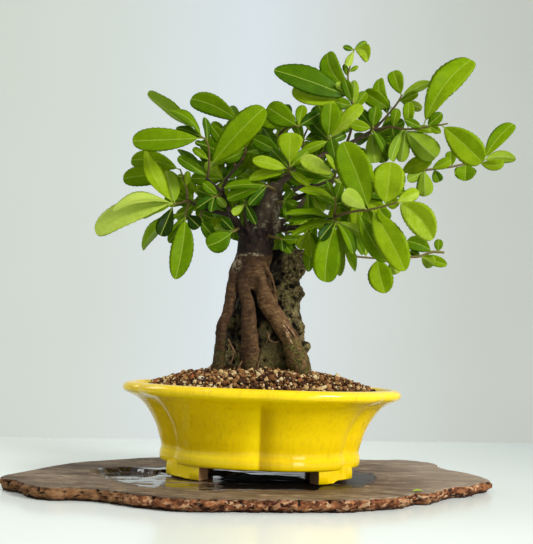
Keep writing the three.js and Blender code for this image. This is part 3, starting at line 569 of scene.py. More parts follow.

# %% [markdown]
# The glaze ran thick and glossy. It shows faint upright streaks where it flowed, a net of hairline cracks and
# a few iron specks. Its lip is a little paler on top where the glaze ran thin, with a painted highlight there
# that grows toward the right, and painted light brightens the lip's lower half and the left of the belt. In
# the middle of the front a dark fold lies next to a bright one: painted shade and painted light along the
# crease. A plain yellow would look like plastic, so each of these is a coat of its own in the finish. The
# ends, backs and undersides of the feet stayed bare clay.

# %% Glaze and bare clay
glaze = Finish("yellow glaze", specular=0.2)
glaze_across, glaze_back, glaze_height = glaze.axes()
streaks = glaze.noise(3.0, detail=4, rough=0.6, stretch=(1, 1, 0.06))
fine_streaks = glaze.noise(1.3, detail=3, rough=0.6, stretch=(1, 1, 0.05))
# The lower half of the lip, which faces down, is painted lighter, most on the left and in the middle: painted
# light.
painted_lip_light = glaze.times(
    glaze.between(glaze_height, 75.5, 78), glaze.between(glaze_height, 83, 79, 0, 0.6),
    glaze.between(glaze_across, 10, 70, 1, 0.1),
)
# The top of the lip is paler, a little for the thin glaze on its edge and more toward the right as a painted
# highlight.
lip_thin_glaze_and_highlight = glaze.times(glaze.between(glaze_height, 81, 84), glaze.between(glaze_across, 30, 110, 0.05, 0.2))
# Along the front crease the glaze is painted darker on the right wall and lighter on the left wall: painted
# shade and painted light, as the light comes from the right.
front_wall = glaze.times(glaze.between(glaze_back, -30, -50), glaze.between(glaze_height, 78, 68))
painted_fold_shade = glaze.times(
    front_wall, glaze.between(glaze_across, -1.0, 0.6), glaze.between(glaze_across, 16, 3), 0.62)
lit_fold = glaze.times(
    front_wall, glaze.between(glaze_across, -18, -3), glaze.between(glaze_across, -0.2, -1.6), 0.55)
# The left of the belt is painted lighter: painted light.
lit_belt = glaze.times(glaze.between(glaze_height, 36, 31), glaze.between(glaze_across, -5, -45, 0, 0.45))
crack_edges = glaze.cells(2.6, feature="DISTANCE_TO_EDGE", stretch=(1, 1, 0.3))
cracks = glaze.times(
    glaze.between(crack_edges, 0.0, 0.05, 1, 0), glaze.between(glaze.noise(40), 0.4, 0.65, 0.0, 0.1))
glaze.set("Base Color", glaze.layers(
    glaze.mix(glaze.noise(26, detail=3), paint(228, 190, 0), paint(242, 208, 0)),
    ((streaks, 0.5, 0.72, 0, 0.5), paint(204, 164, 0)),
    ((fine_streaks, 0.5, 0.7, 0, 0.22), paint(190, 148, 0)),
    (painted_lip_light, paint(240, 211, 10)),
    (lip_thin_glaze_and_highlight, paint(255, 238, 130)),
    (painted_fold_shade, paint(178, 138, 0)),
    (lit_fold, paint(255, 226, 0)),
    (lit_belt, paint(255, 232, 40)),
    (cracks, paint(160, 122, 0)),
    ((glaze.cells(11.0), 0.0, 0.03, 0.45, 0), paint(112, 78, 10)),
))
glaze.set("Roughness", glaze.between(streaks, 0.3, 0.8, 0.1, 0.2))
glaze.set("Coat Weight", 0.22)
glaze.set("Coat Roughness", 0.05)
glaze.set("Normal", glaze.bump(glaze.noise(9, detail=2, stretch=(1, 1, 0.35)), 0.12, 0.5))

clay = Finish("bare clay", roughness=0.85)
clay.set("Base Color", clay.mix(clay.noise(2.5, detail=4), paint(112, 78, 46), paint(160, 122, 76)))
clay.set("Normal", clay.bump(clay.noise(0.7, detail=3), 0.15, 0.6))
print("The glaze has", len(glaze.tree.nodes), "nodes")

# %% [markdown]
# Each foot is a short curved bracket that follows the belt. Its lower edge steps up in a small scallop
# towards the pot's narrow end, and its inner end is cut straight. Wall, feet and drain holes are joined
# and cut with booleans, because the real ones are one fired piece.

# %% Feet and drain holes
foot_half_length = 84.5
foot_depth = 12.0
foot_angles = (23, 55)  # degrees from the long axis
foot_bottom = 10.3
foot_top = 23.0
foot_scallop = {-1: 0.55, 1: 2.2}  # how high the lower edge steps up on the left and on the right feet
scallop_start = 0.5  # how far along the foot the step begins, and how much of the foot it takes
scallop_length = 0.14
foot_waist = 0.8
foot_steps = 26
drain_offset = 45.0
drain_radius = 10.0
drain_sides = 40
drain_levels = (10.0, 35.0)
sharp_angle = 48  # degrees between faces, above which an edge of the pot looks sharp


def foot_sections(side_x, side_y):
    """Six-cornered rings along one foot. The last two sides of each are bare clay."""
    sections = []
    for step in range(foot_steps + 1):
        share = step / foot_steps
        turn = math.radians(foot_angles[0] + (foot_angles[1] - foot_angles[0]) * share)
        dropped = min(1.0, max(0.0, (share - scallop_start) / scallop_length))
        bottom = foot_bottom + foot_scallop[side_x] * (1 - dropped ** 2)
        waist = foot_waist * math.sin(math.pi * share) ** 2
        sections.append([
            (
                side_x * (foot_half_length - inset) * math.cos(turn),
                side_y * (half_depth_of(foot_half_length) - inset) * math.sin(turn), height,
            ) for inset, height in (
                (1.2, bottom), (0.2, bottom + 0.9), (waist, (bottom + foot_top) / 2), (0.6, foot_top),
                (foot_depth, foot_top), (foot_depth, bottom),
            )
        ])
    return sections if side_x * side_y < 0 else sections[::-1]


def cut_or_join(piece, other, operation):
    """Joins another body to a piece, or cuts it away, and removes the other."""
    boolean = piece.modifiers.new(operation.lower(), "BOOLEAN")
    boolean.operation = operation
    boolean.object = other
    boolean.solver = "EXACT"
    boolean.material_mode = "TRANSFER"
    apply_modifiers(piece)
    bpy.data.objects.remove(other)


fired = [glaze.material, clay.material]
pot = make_piece("glazed_pot", np.vstack(pot_rings), ring_skin(pot_rings), fired)
for side_x in (-1, 1):
    for side_y in (-1, 1):
        sections = foot_sections(side_x, side_y)
        corners = len(sections[0])
        foot_faces = ring_skin(sections)
        bare = [k >= foot_steps * corners or k % corners >= corners - 2 for k in range(len(foot_faces))]
        cut_or_join(pot, make_piece("foot", np.vstack(sections), foot_faces, fired, bare), "UNION")
    plug_rings = [
        level_ring((side_x * drain_offset, 0, level), drain_radius, drain_radius, drain_sides)
        for level in drain_levels
    ]
    plug = make_piece("plug", np.vstack(plug_rings), ring_skin(plug_rings), [clay.material, clay.material])
    cut_or_join(pot, plug, "DIFFERENCE")
pot.data.set_sharp_from_angle(angle=math.radians(sharp_angle))
place_piece(pot, "glaze", "pot")

# %% [markdown]
# ## Slab
#
# The pot stands on a slice of wood whose bark edge was left on. Weather has greyed it, its grain stands up
# in low ridges, and water from the drain holes lies on it and in a shallow hollow. A box with a picture of
# wood would be flat, so the grain, the hollow and the torn edge are real relief.

# %% Slab outline
slab_thickness = 10.0
slab_outline = [
    (204, 12), (203, 30), (196, 55), (181, 78), (174, 102), (176, 118), (168, 133), (146, 144),
    (122, 136), (60, 131), (-20, 119), (-96, 95), (-131, 67), (-162, 39), (-181, 5), (-196, -36),
    (-205, -60), (-199, -71), (-187, -80), (-176, -97), (-158, -108), (-140, -105), (-118, -108),
    (-90, -123), (-55, -134), (-13, -130), (30, -122), (67, -114), (95, -99), (112, -88), (124, -70),
    (137, -66), (150, -46), (165, -28), (180, -19), (192, 0),
]
slab_sides = 500
slab_rings = 112
hollows = [(-112.0, -22.0, 31.0, 38.0, 4.0), (-50.0, 0.0, 42.0, 18.5, 4.5)]  # x, y, half sizes and depth
puddle_line = [
    (-138, 2), (-124, -46), (-109, -64), (-90, -84), (-66, -95), (-44, -94), (-25, -88), (32, -77),
    (64, -64), (82, -50), (96, -20), (103, 12), (101, 36), (86, 46), (50, 42), (0, 30), (-40, 22),
    (-82, 21), (-114, 16),
]
# Outline of the painted shadow under the pot, which also stands for the reflection of its dark underside in
# the water.
pot_shadow_line = [(-32, 4), (-30, -84), (45, -70), (52, -50), (34, -2)]


def closed_curve(corners, count):
    """Evenly spaced points on a smooth closed curve through the corners."""
    parts = 40
    wrapped = np.vstack([corners[-1:], corners, corners[:2]])
    dense = smooth_rows(wrapped, parts)[parts:-parts]
    steps = np.r_[0, np.cumsum(np.linalg.norm(np.diff(dense, axis=0), axis=1))]
    wanted = np.linspace(0, steps[-1], count, endpoint=False)
    return np.column_stack([np.interp(wanted, steps, dense[:, axis]) for axis in range(dense.shape[1])])


edge_line = closed_curve(np.array(slab_outline, dtype=float), slab_sides)
edge_reach = np.linalg.norm(edge_line, axis=1)
edge_way = edge_line / edge_reach[:, None]
print("The slab is", np.ptp(edge_line, axis=0).round(), "mm")

# %% Slab relief


def noise_at(points, size, seed, octaves):
    """Smooth noise from about -1 to 1, with waves of about `size` millimetres."""
    shift = Vector((seed * 17.3, seed * 5.1, seed * 29.7))
    return np.array([
        noise.fractal(Vector(point) / size + shift, 0.9, 2.1, octaves, noise_basis="PERLIN_ORIGINAL")
        for point in points
    ])


def depth_inside(x, y, corners):
    """How many millimetres a place lies inside a closed line, negative outside it."""
    corners = np.asarray(corners, dtype=float)
    nearest = np.full(len(x), np.inf)
    inside = np.zeros(len(x), dtype=bool)
    for (ax, ay), (bx, by) in zip(corners, np.roll(corners, -1, axis=0)):
        share = ((x - ax) * (bx - ax) + (y - ay) * (by - ay)) / ((bx - ax) ** 2 + (by - ay) ** 2)
        share = np.clip(share, 0, 1)
        nearest = np.minimum(nearest, np.hypot(x - ax - share * (bx - ax), y - ay - share * (by - ay)))
        if ay != by:
            inside ^= ((ay > y) != (by > y)) & (x < (bx - ax) * (y - ay) / (by - ay) + ax)
    return np.where(inside, nearest, -nearest)


def smooth_step(value):
    value = np.clip(value, 0, 1)
    return value * value * (3 - 2 * value)


def slab_top(x, y):
    """Height of the slab's top above its plain face, how wet it is, and how much of the pot's painted shadow
    lies on it.
    """
    flat = np.column_stack([x, y, np.zeros(len(x))])
    grain = noise_at(flat * (0.16, 1.0, 1.0), 5.0, 1, 3) * 0.28
    swell = noise_at(flat, 55.0, 2, 2) * 0.35
    ragged = noise_at(flat, 12.0, 3, 3)
    dip = np.zeros(len(x))
    for centre_x, centre_y, half_length, half_width, depth in hollows:
        reach = np.hypot((x - centre_x) / half_length, (y - centre_y) / half_width)
        steep = np.where(y > centre_y, 0.13, 0.8)
        dip = np.maximum(dip, depth * smooth_step((1 - reach + 0.1 * ragged) / steep))
    wet = smooth_step((depth_inside(x, y, puddle_line) + 5 * ragged) / 4 + 0.5)
    pot_shadow = smooth_step((depth_inside(x, y, pot_shadow_line) + 4 * ragged) / 9 + 0.5)
    relief = (grain + 0.25 * ragged) * (1 - 0.93 * wet) + swell * (1 - wet) - 0.15 * wet - dip
    return relief, wet, pot_shadow


edge_rows = 13
edge_inset = 2.0  # how far inside the outline the top ends
edge_points = np.column_stack([edge_line, np.zeros(slab_sides)])
edge_coarse = noise_at(edge_points, 22.0, 4, 3)
edge_fine = noise_at(edge_points, 5.0, 5, 3)
rings, wetness, pot_shadow_shares, clefts = [], [], [], []
for reach in np.linspace(0.004, 1, slab_rings):
    near_edge = reach ** 30
    line = edge_way * (edge_reach * reach - (edge_inset + 0.8 * edge_fine) * near_edge)[:, None]
    relief, wet, pot_shadow = slab_top(*line.T)
    rings.append(np.column_stack([line, slab_thickness + relief * (1 - 0.5 * near_edge)]))
    wetness.append(wet)
    pot_shadow_shares.append(pot_shadow)
    clefts.append(np.zeros(slab_sides))
for row in range(1, edge_rows + 1):
    down = row / edge_rows
    level = np.full(slab_sides, slab_thickness * (1 - down))
    around = np.column_stack([edge_line, level])
    bark = noise_at(around * (1, 1, 1.5), 5.5, 6, 4) * 2.8 + edge_coarse * 1.8
    cleft = np.clip(1 - np.abs(noise_at(around * (1, 1, 0.7), 11.0, 8, 2)) / 0.08, 0, 1) ** 0.7
    bark -= 3.2 * cleft * math.sin(math.pi * min(1.0, 0.2 + 0.8 * down))
    belly = 1.8 * math.sin(math.pi * min(1, down * 1.15)) - 5.0 * max(0.0, down - 0.45) ** 1.3
    line = edge_way * (edge_reach - edge_inset + np.minimum(belly + bark, 2.6))[:, None]
    raised = (0.9 * np.clip(edge_coarse + 0.4, 0, None) + 0.5 * cleft) * max(0.0, down - 0.5) * 2
    level = np.maximum(level + 0.5 * edge_fine * math.sin(math.pi * down), 0)
    rings.append(np.column_stack([line, level + (raised if row < edge_rows else 0)]))
    clefts.append(cleft)
for share in (0.9, 0.02):
    rings.append(np.column_stack([edge_way * (edge_reach * share)[:, None], np.zeros(slab_sides)]))
dry_rings = [np.zeros(slab_sides)] * (len(rings) - slab_rings)
wetness = (wetness + dry_rings)[::-1]
pot_shadow_shares = (pot_shadow_shares + dry_rings)[::-1]
clefts = (clefts + [np.ones(slab_sides)] * 2)[::-1]
rings = rings[::-1]

# %% [markdown]
# Old wood out of doors turns grey-brown, with darker lines of grain. The bark edge is redder and darker.
# Where water lies, wood gets darker and very smooth, so one mask drives both colour and roughness.

# %% Weathered wood
timber = Finish("weathered wood", specular=0.25)
timber_side, timber_back, _ = timber.axes()
lines = timber.noise(2.2, detail=5, rough=0.62, stretch=(0.07, 1, 1), distortion=0.6)
fine_lines = timber.noise(0.9, detail=3, rough=0.6, stretch=(0.06, 1, 1))
torn_lines = timber.noise(4.5, detail=5, rough=0.75, stretch=(0.35, 1, 1))
bands = timber.noise(24, detail=2, stretch=(0.3, 1, 1), distortion=0.8)
flecks = timber.noise(9, detail=4, rough=0.7, stretch=(0.5, 1, 1))
near_front = timber.times(timber.between(timber_back, -50, -90), timber.between(timber_side, 60, 0, 0, 0.5))
emerging = timber.between(timber.noise(7, detail=4, rough=0.7, stretch=(0.2, 1, 1)), 0.5, 0.6, 0, 0.9)
water = timber.math("SUBTRACT", timber.kept("wetness"), emerging)
wet = timber.between(water, 0.35, 0.6)
shore = timber.times(timber.between(water, 0.05, 0.3), timber.between(water, 0.8, 0.5), 0.7)
# Under the pot the wood is painted near black: painted shadow and painted reflection of the pot's dark
# underside.
pot_shadow = timber.times(timber.kept("pot_shadow_shares"), 0.96)
timber.set("Base Color", timber.layers(
    timber.ramp(
        lines, (0.25, paint(78, 58, 42)), (0.42, paint(122, 100, 78)), (0.58, paint(150, 132, 108)),
        (0.78, paint(188, 172, 148)),
    ),
    ((fine_lines, 0.5, 0.36, 0, 0.55), paint(84, 66, 48)),
    ((bands, 0.42, 0.68, 0, 0.75), paint(130, 88, 62), "MULTIPLY"),
    ((bands, 0.5, 0.3, 0, 0.3), paint(158, 122, 94)),
    ((flecks, 0.48, 0.4, 0, 0.6), paint(88, 70, 50)),
    ((flecks, 0.56, 0.64, 0, 0.4), paint(186, 170, 138)),
    ((torn_lines, 0.48, 0.4, 0, 0.5), paint(84, 66, 48)),
    ((timber_side, 40, -120, 0, 0.4), paint(192, 188, 184), "MULTIPLY"),
    ((timber_side, 90, 170, 0, 0.35), paint(190, 172, 150)),
    (near_front, paint(214, 208, 198), "MULTIPLY"),
    (shore, paint(36, 28, 20)),
    (timber.times(wet, 0.85), paint(92, 74, 54), "MULTIPLY"),
    (pot_shadow, paint(20, 15, 10)),
))
dry_rough = timber.times(timber.between(lines, 0.2, 0.8, 0.5, 0.75), timber.rest(wet))
wet_rough = timber.times(wet, timber.between(timber_side, 0, 80, 0.1, 0.32))
timber.set("Roughness", timber.math("ADD", dry_rough, wet_rough))
timber.set("Coat Weight", timber.times(
    wet, timber.rest(pot_shadow), timber.between(timber_side, 20, -40, 0.0, 0.7)))
timber.set("Coat Roughness", 0.06)
# There a near-black matte sheet also covers most of the wood, so that it hardly reflects: painted shade, with
# gaps where the water glints.
glints = timber.between(timber.noise(8, detail=3, stretch=(0.22, 1, 1)), 0.6, 0.66, 0.985, 0.75)
pot_shadow_sheet = timber.times(
    glints, timber.between(timber_back, -84, -68, 0.86, 1), timber.between(pot_shadow, 0.1, 0.8))
# The puddle on the right is partly covered by the same near-black sheet: painted shade that dims its
# reflection.
right_puddle_shade = timber.times(wet, timber.between(timber_side, 30, 60, 0, 0.4))
timber.overlay("Diffuse", paint(15, 11, 8), timber.math("MAXIMUM", pot_shadow_sheet, right_puddle_shade))
ripples = timber.bump(timber.noise(9, detail=3, stretch=(0.5, 1, 1)), 0.1, 0.7)
dry_lines = timber.times(lines, timber.rest(timber.times(wet, 0.93)))
timber.set("Normal", timber.bump(dry_lines, 0.7, 0.8, ripples))

rind = Finish("bark edge", roughness=0.85, specular=0.2)
rind_side, _, rind_height = rind.axes()
rind_lines = rind.noise(3.0, detail=6, rough=0.75, stretch=(0.7, 0.7, 1.2))
rind_lumps = rind.noise(6.5, detail=3, rough=0.6)
chip_tone = rind.ramp(
    rind.parts(rind.cells(2.8, stretch=(0.8, 0.8, 1.2), output="Color"))[0],
    (0.15, paint(40, 20, 11)), (0.42, paint(104, 60, 35)), (0.72, paint(158, 102, 62)),
    (1.0, paint(236, 200, 154)),
)
worn_tone = rind.ramp(
    rind.noise(4, detail=4, rough=0.6, stretch=(0.3, 0.3, 1)),
    (0.35, paint(92, 58, 32)), (0.5, paint(136, 96, 58)), (0.68, paint(178, 140, 100)),
)
rind.set("Base Color", rind.layers(
    rind.ramp(
        rind_lines, (0.3, paint(30, 14, 8)), (0.43, paint(92, 50, 28)), (0.54, paint(140, 86, 50)),
        (0.62, paint(176, 126, 84)), (0.74, paint(224, 188, 140)),
    ),
    ((rind.noise(30), 0.4, 0.65, 0, 0.45), paint(176, 96, 56), "MULTIPLY"),
    ((rind_lumps, 0.44, 0.34, 0, 0.85), paint(26, 13, 8)),
    ((rind_lumps, 0.6, 0.68, 0, 0.5), paint(206, 142, 86)),
    (0.5, chip_tone),
    ((rind_side, -86, -108, 0, 0.7), worn_tone),
    # The clefts in the bark edge are painted near black: painted shade in the cracks.
    ((rind.kept("cleft"), 0.1, 0.7, 0, 0.95), paint(14, 8, 6)),
    ((rind_side, -60, -130, 0, 0.3), paint(170, 156, 150), "MULTIPLY"),
    # The lowest few millimetres of the edge are painted near black: painted shadow under the slab's rim.
    ((rind_height, 3.2, 0.6, 0, 0.85), paint(20, 11, 8)),
))
rind.set("Normal", rind.bump(rind_lines, 0.9, 0.8))

# The rings start under the slab, so those of its edge come right after the first
slab_faces = ring_skin(rings)
on_edge = [1 <= face_index // slab_sides <= edge_rows for face_index in range(len(slab_faces))]
slab = make_piece("live_edge_slab", np.vstack(rings), slab_faces, [timber.material, rind.material], on_edge)
keep_numbers(slab, "wetness", np.concatenate(wetness))
keep_numbers(slab, "pot_shadow_shares", np.concatenate(pot_shadow_shares))
keep_numbers(slab, "cleft", np.concatenate(clefts))
place_piece(slab, "slab_wood", "display_slab")

# %% [markdown]
# ## Soil
#
# Bonsai soil is loose grit: brown fired clay, red lava, and a little cream pumice. It is heaped towards the
# roots. A bumpy surface would do from afar, but up close every grain casts its own shadow. So a low bed of
# fine crumbs is covered with more than two thousand separate grains, spread so that they lie side by side.

# %% Soil heap
mound_lengths = (1, 34, 68, 94, 105.4)  # half lengths of the heap's ovals, from its top out
mound_heights = (102.5, 101, 95.5, 87.5, 80.2)
bed_drop = 2.2  # how far the fine bed lies below the top of the heap
bed_gap = 0.3  # between the bed and the pot
bed_lengths = (104.8, 100, 94, 86, 77, 68, 57, 46, 35, 24, 13)  # half lengths of its ovals, from the pot in
shortest_oval = 9.5  # between this half length and the next, the heap's ovals are sought by halving
longest_oval = 125.0
halvings = 24


def oval_through(x, y):
    """The half length of the heap's oval that passes through each place."""
    low, high = np.full(len(x), shortest_oval), np.full(len(x), longest_oval)
    for _ in range(halvings):
        middle = (low + high) / 2
        outside = (x / middle) ** 2 + (y / np.maximum(half_depth_of(middle), 0.2)) ** 2 > 1
        low, high = np.where(outside, middle, low), np.where(outside, high, middle)
    return (low + high) / 2


def heap_height(x, y):
    return np.interp(oval_through(x, y), mound_lengths, mound_heights)


bed_sides = 180
bed_rings = [
    oval_ring(half_length, height + bed_gap, crease_depth, bed_gap, bed_sides)
    for half_length, height, crease_depth in reversed(pot_inside[2:])
]
for half_length in bed_lengths:
    ring = oval_ring(half_length, 0, np.interp(half_length, [34, 105], [0, 0.036]), bed_gap, bed_sides)
    level = heap_height(ring[:, 0], ring[:, 1]) - bed_drop
    ring[:, 2] = level + noise_at(ring, 4.0, 7, 3) * 0.7
    bed_rings.append(ring)

loam = Finish("fine soil", roughness=0.95, specular=0.2)
crumbs = loam.noise(1.4, detail=5, rough=0.7)
loam.set("Base Color", loam.ramp(
    crumbs, (0.3, paint(18, 11, 6)), (0.5, paint(46, 30, 17)), (0.7, paint(84, 58, 34)),
))
loam.set("Normal", loam.bump(crumbs, 1.2, 1.0))
bed = make_piece("fine_soil_bed", np.vstack(bed_rings), ring_skin(bed_rings), [loam.material])
place_piece(bed, "soil", "soil_bed")

# %% Spread the grains
spread = np.random.default_rng(11)
heap_edge = 104.0  # half length of the outermost oval that grains lie on
heap_half_depth = 80.0
grid_cell = 8.0


def spread_grains(tries, low_radius, high_radius, taken, crowding):
    """Places and radii of grains that keep clear of those already taken."""
    grid = {}
    for index, (x, y, radius) in enumerate(taken):
        grid.setdefault((int(x // grid_cell), int(y // grid_cell)), []).append(index)
    for _ in range(tries):
        x, y = spread.uniform(-heap_edge, heap_edge), spread.uniform(-heap_half_depth, heap_half_depth)
        radius = spread.uniform(low_radius, high_radius)
        column, row = int(x // grid_cell), int(y // grid_cell)
        near = [
            taken[k] for i in (-1, 0, 1) for j in (-1, 0, 1) for k in grid.get((column + i, row + j), ())
        ]
        if all(math.hypot(x - other[0], y - other[1]) > crowding * (radius + other[2]) for other in near):
            grid.setdefault((column, row), []).append(len(taken))
            taken.append((x, y, radius))
    return taken


grains = spread_grains(tries=1700, low_radius=1.9, high_radius=3.3, taken=[], crowding=0.85)
grains = np.array(spread_grains(tries=18000, low_radius=0.9, high_radius=1.8, taken=grains, crowding=0.77))
grains = grains[oval_through(grains[:, 0], grains[:, 1]) + grains[:, 2] < heap_edge]
grain_sizes = 2 * grains[:, 2]
print(len(grains), "grains of", round(grain_sizes.min(), 1), "to", round(grain_sizes.max(), 1), "mm")

# %% [markdown]
# A grain is a small faceted ball, pushed in and out at random until it looks broken. Each grain carries
# one number that says what it is made of, and a single finish turns that number into a colour.

# %% Shape and colour the grains


def ball(radius, fineness):
    """Points and faces of a round ball."""
    rough = bmesh.new()
    bmesh.ops.create_icosphere(rough, subdivisions=fineness, radius=radius)
    points = np.array([vertex.co[:] for vertex in rough.verts])
    faces = [[vertex.index for vertex in face.verts] for face in rough.faces]
    rough.free()
    return points, faces


round_points, round_faces = ball(1.0, 2)
pale_radius = 2.1  # above it a grain is seldom of the darkest kinds
grain_seeds = range(30, 46)  # one for each shape of grain
grain_dents = 0.5
grain_squash = (0.58, 1.1)  # least and most stretch of a grain along each axis
grain_shapes = [
    round_points * (1 + grain_dents * noise_at(round_points, 0.7, seed, 2))[:, None]
    * spread.uniform(*grain_squash, 3) for seed in grain_seeds
]
heap, grain_kinds = Body(), []
heights = heap_height(grains[:, 0], grains[:, 1])
for index, (x, y, radius) in enumerate(grains):
    about_z = Matrix.Rotation(spread.uniform(0, 6.28), 3, "Z")
    about_x = Matrix.Rotation(spread.uniform(0, 3.14), 3, "X")
    shape = grain_shapes[index % len(grain_shapes)] @ np.array(about_z @ about_x).T * radius
    lift = spread.uniform(-1.5, 0.6) - 0.35 * radius
    heap.add(shape + (x, y, heights[index] + lift), round_faces)
    grain_kinds.append(spread.uniform(0.3 if radius > pale_radius else 0, 1))

grit = Finish("fired clay, lava and pumice", roughness=0.9, specular=0.2)
pores = grit.noise(0.9, detail=4, rough=0.7)
kind_tone = grit.ramp(
    grit.kept("kind"),
    (0.0, paint(82, 50, 24)), (0.22, paint(122, 80, 42)), (0.42, paint(66, 40, 20)),
    (0.54, paint(150, 106, 60)), (0.69, paint(176, 132, 80)), (0.8, paint(212, 178, 118)),
    (0.89, paint(228, 204, 150)), (0.965, paint(230, 214, 180)), (0.98, paint(176, 102, 58)), blended=False,
)
grit.set("Base Color", grit.layers(
    kind_tone, ((pores, 0.6, 0.38, 0, 0.66), paint(120, 96, 78), "MULTIPLY")))
grit.set("Normal", grit.bump(pores, 0.6, 0.8))
grit_piece = make_piece("soil_grains", heap.points, heap.faces, [grit.material])
keep_numbers(grit_piece, "kind", np.repeat(grain_kinds, len(round_points)))
place_piece(grit_piece, "soil", "soil_bed")

# %% [markdown]
# ## Rock
#
# The stone is a dark, pitted lump with yellow-green moss and lichen on it. Its outline was read level by
# level, so it is a stack of rough rings with a few knobs. They are melted into one skin, and noise in
# three sizes then swells it, pits it and roughens it. Sculpting by hand would look as good, but only once.

# %% Stack the rock
rock_rows = [
    (268, 392, 84, 44), (268, 368, 87, 48), (265, 350, 81, 46), (264.5, 333, 80, 46),
    (264.5, 318, 77, 45), (266, 309, 69, 44), (270, 297, 62, 42), (272.5, 289, 58, 40),
    (275, 278, 50, 38), (280, 271, 51, 36), (284.8, 262, 45, 34), (286.8, 255, 42, 30),
    (287, 251, 26, 18),
]
rock_knobs = [
    (276, 254.5, 5), (287.5, 253.5, 5.5), (299.5, 254.5, 5), (304.8, 347, 5.2), (296, 293, 7),
    (296, 328, 8), (292, 275, 8), (300, 366, 8), (283, 310, 9), (271, 355, 11), (233, 323, 8),
]
rock_depth = 14.0
rock_sides = 44
rock_inset = 1.2  # the rings lie inside what was seen, because the relief swells them
small_knob = 6  # smaller knobs stand nearer to the rock's middle
small_knob_forward = 4  # how far in front of the rock's middle the knobs stand
knob_forward = 10
pit_size = 8.0
pit_depth = 3.1
rock_grain = 1.05
rock_rings = []
for across, down, width, through in smooth_rows(rock_rows, 3):
    half_width, half_through = width / 2 * unit_at(rock_depth) - rock_inset, through / 2 - rock_inset
    rock_rings.append(level_ring(sight(across, down, rock_depth), half_width, half_through, rock_sides))
rock_body = Body()
rock_body.add_rings(rock_rings)
for across, down, radius in rock_knobs:
    knob, knob_faces = ball(radius * unit_at(rock_depth), 3)
    knob_depth = rock_depth - (small_knob_forward if radius < small_knob else knob_forward)
    rock_body.add(knob + sight(across, down, knob_depth), knob_faces)
print("Rock rings:", len(rock_rings))

# %% Swell, pit and roughen the rock
stone = Finish("mossy rock", roughness=0.9, specular=0.2)
stone_grain = stone.noise(2.2, detail=6, rough=0.68)
blotches = stone.noise(6, detail=5, rough=0.72)
lichen = stone.between(stone.noise(7, detail=4, rough=0.62), 0.52, 0.68, 0, 0.4)
lichen_tone = stone.mix(stone.noise(1.5, detail=3), paint(84, 88, 34), paint(142, 146, 72))
low_moss = stone.times(
    stone.between(stone.axes()[2], 128, 104), stone.between(stone.noise(9, detail=3), 0.42, 0.6), 0.7)
low_moss_tone = stone.mix(stone.noise(1.2, detail=3), paint(84, 78, 26), paint(140, 132, 60))
# Nooks of the rock beside the trunk and roots are painted near black: painted shade.
painted_nook_shade = stone.spots((-25, 172, 11, 20), (-29, 127, 10, 10), (-4, 156, 9, 22), (10, 190, 7, 20))
mossy_lumps = stone.spots((-28.5, 141, 10, 9), (7, 112, 19, 19), (1, 134, 8, 10))
lump_tone = stone.mix(stone.noise(1.6, detail=4, rough=0.65), paint(70, 60, 30), paint(150, 136, 86))
# Where roots enclose the rock it is painted near black, less on the mossy lumps: painted shade.
painted_hollow_shade = stone.times(
    stone.between(stone.kept("enclosed"), 0.24, 0.56, 0, 0.97), stone.rest(stone.times(mossy_lumps, 0.8)))
stone.set("Base Color", stone.layers(
    stone.ramp(
        stone_grain, (0.3, paint(22, 17, 9)), (0.43, paint(70, 58, 34)), (0.57, paint(122, 106, 67)),
        (0.74, paint(188, 172, 122)),
    ),
    (lichen, lichen_tone),
    (low_moss, low_moss_tone),
    ((blotches, 0.48, 0.38, 0, 0.8), paint(18, 14, 8)),
    ((blotches, 0.56, 0.68, 0, 0.5), paint(164, 152, 112)),
    (stone.times(painted_nook_shade, 0.85), paint(12, 9, 5)),
    (stone.times(mossy_lumps, 0.6), lump_tone),
    ((stone.kept("pit"), 0.15, 0.75, 0, 0.8), paint(14, 11, 6)),
    (painted_hollow_shade, paint(7, 5, 3)),
))
broad_relief = stone.bump(stone.noise(6, detail=4, rough=0.65), 2.2, 0.9)
stone.set("Normal", stone.bump(stone_grain, 1.6, 0.9, broad_relief))

rock = make_piece("pitted_rock", rock_body.points, rock_body.faces, [stone.material])
grown_together(rock, rock_grain)
points, outward = points_of(rock), normals_of(rock)
swell = 0.9 + noise_at(points, 13.0, 50, 2) * 1.6
pits = np.array([noise.voronoi(Vector(point) / pit_size)[0][0] for point in points])
pit_share = smooth_step((0.45 - pits) / 0.4)
rough = noise_at(points, 3.0, 51, 4) * 0.95
move_points(rock, points + outward * (swell - pit_depth * pit_share + rough)[:, None])
keep_numbers(rock, "pit", pit_share)
place_piece(rock, "rock", "rock")

# %% [markdown]
# ## Roots, trunk and limbs
#
# Roots and trunk are one piece of living wood. The roots start as a few thick fingers under the trunk,
# run down over the rock and dive into the soil. Each is a tube through the places where it was seen. The
# tubes are melted into one skin, as real roots fuse where they press together, and the bark is pushed into
# the skin afterwards: cross wrinkles on the roots, upright ridges and a torn ledge on the trunk.

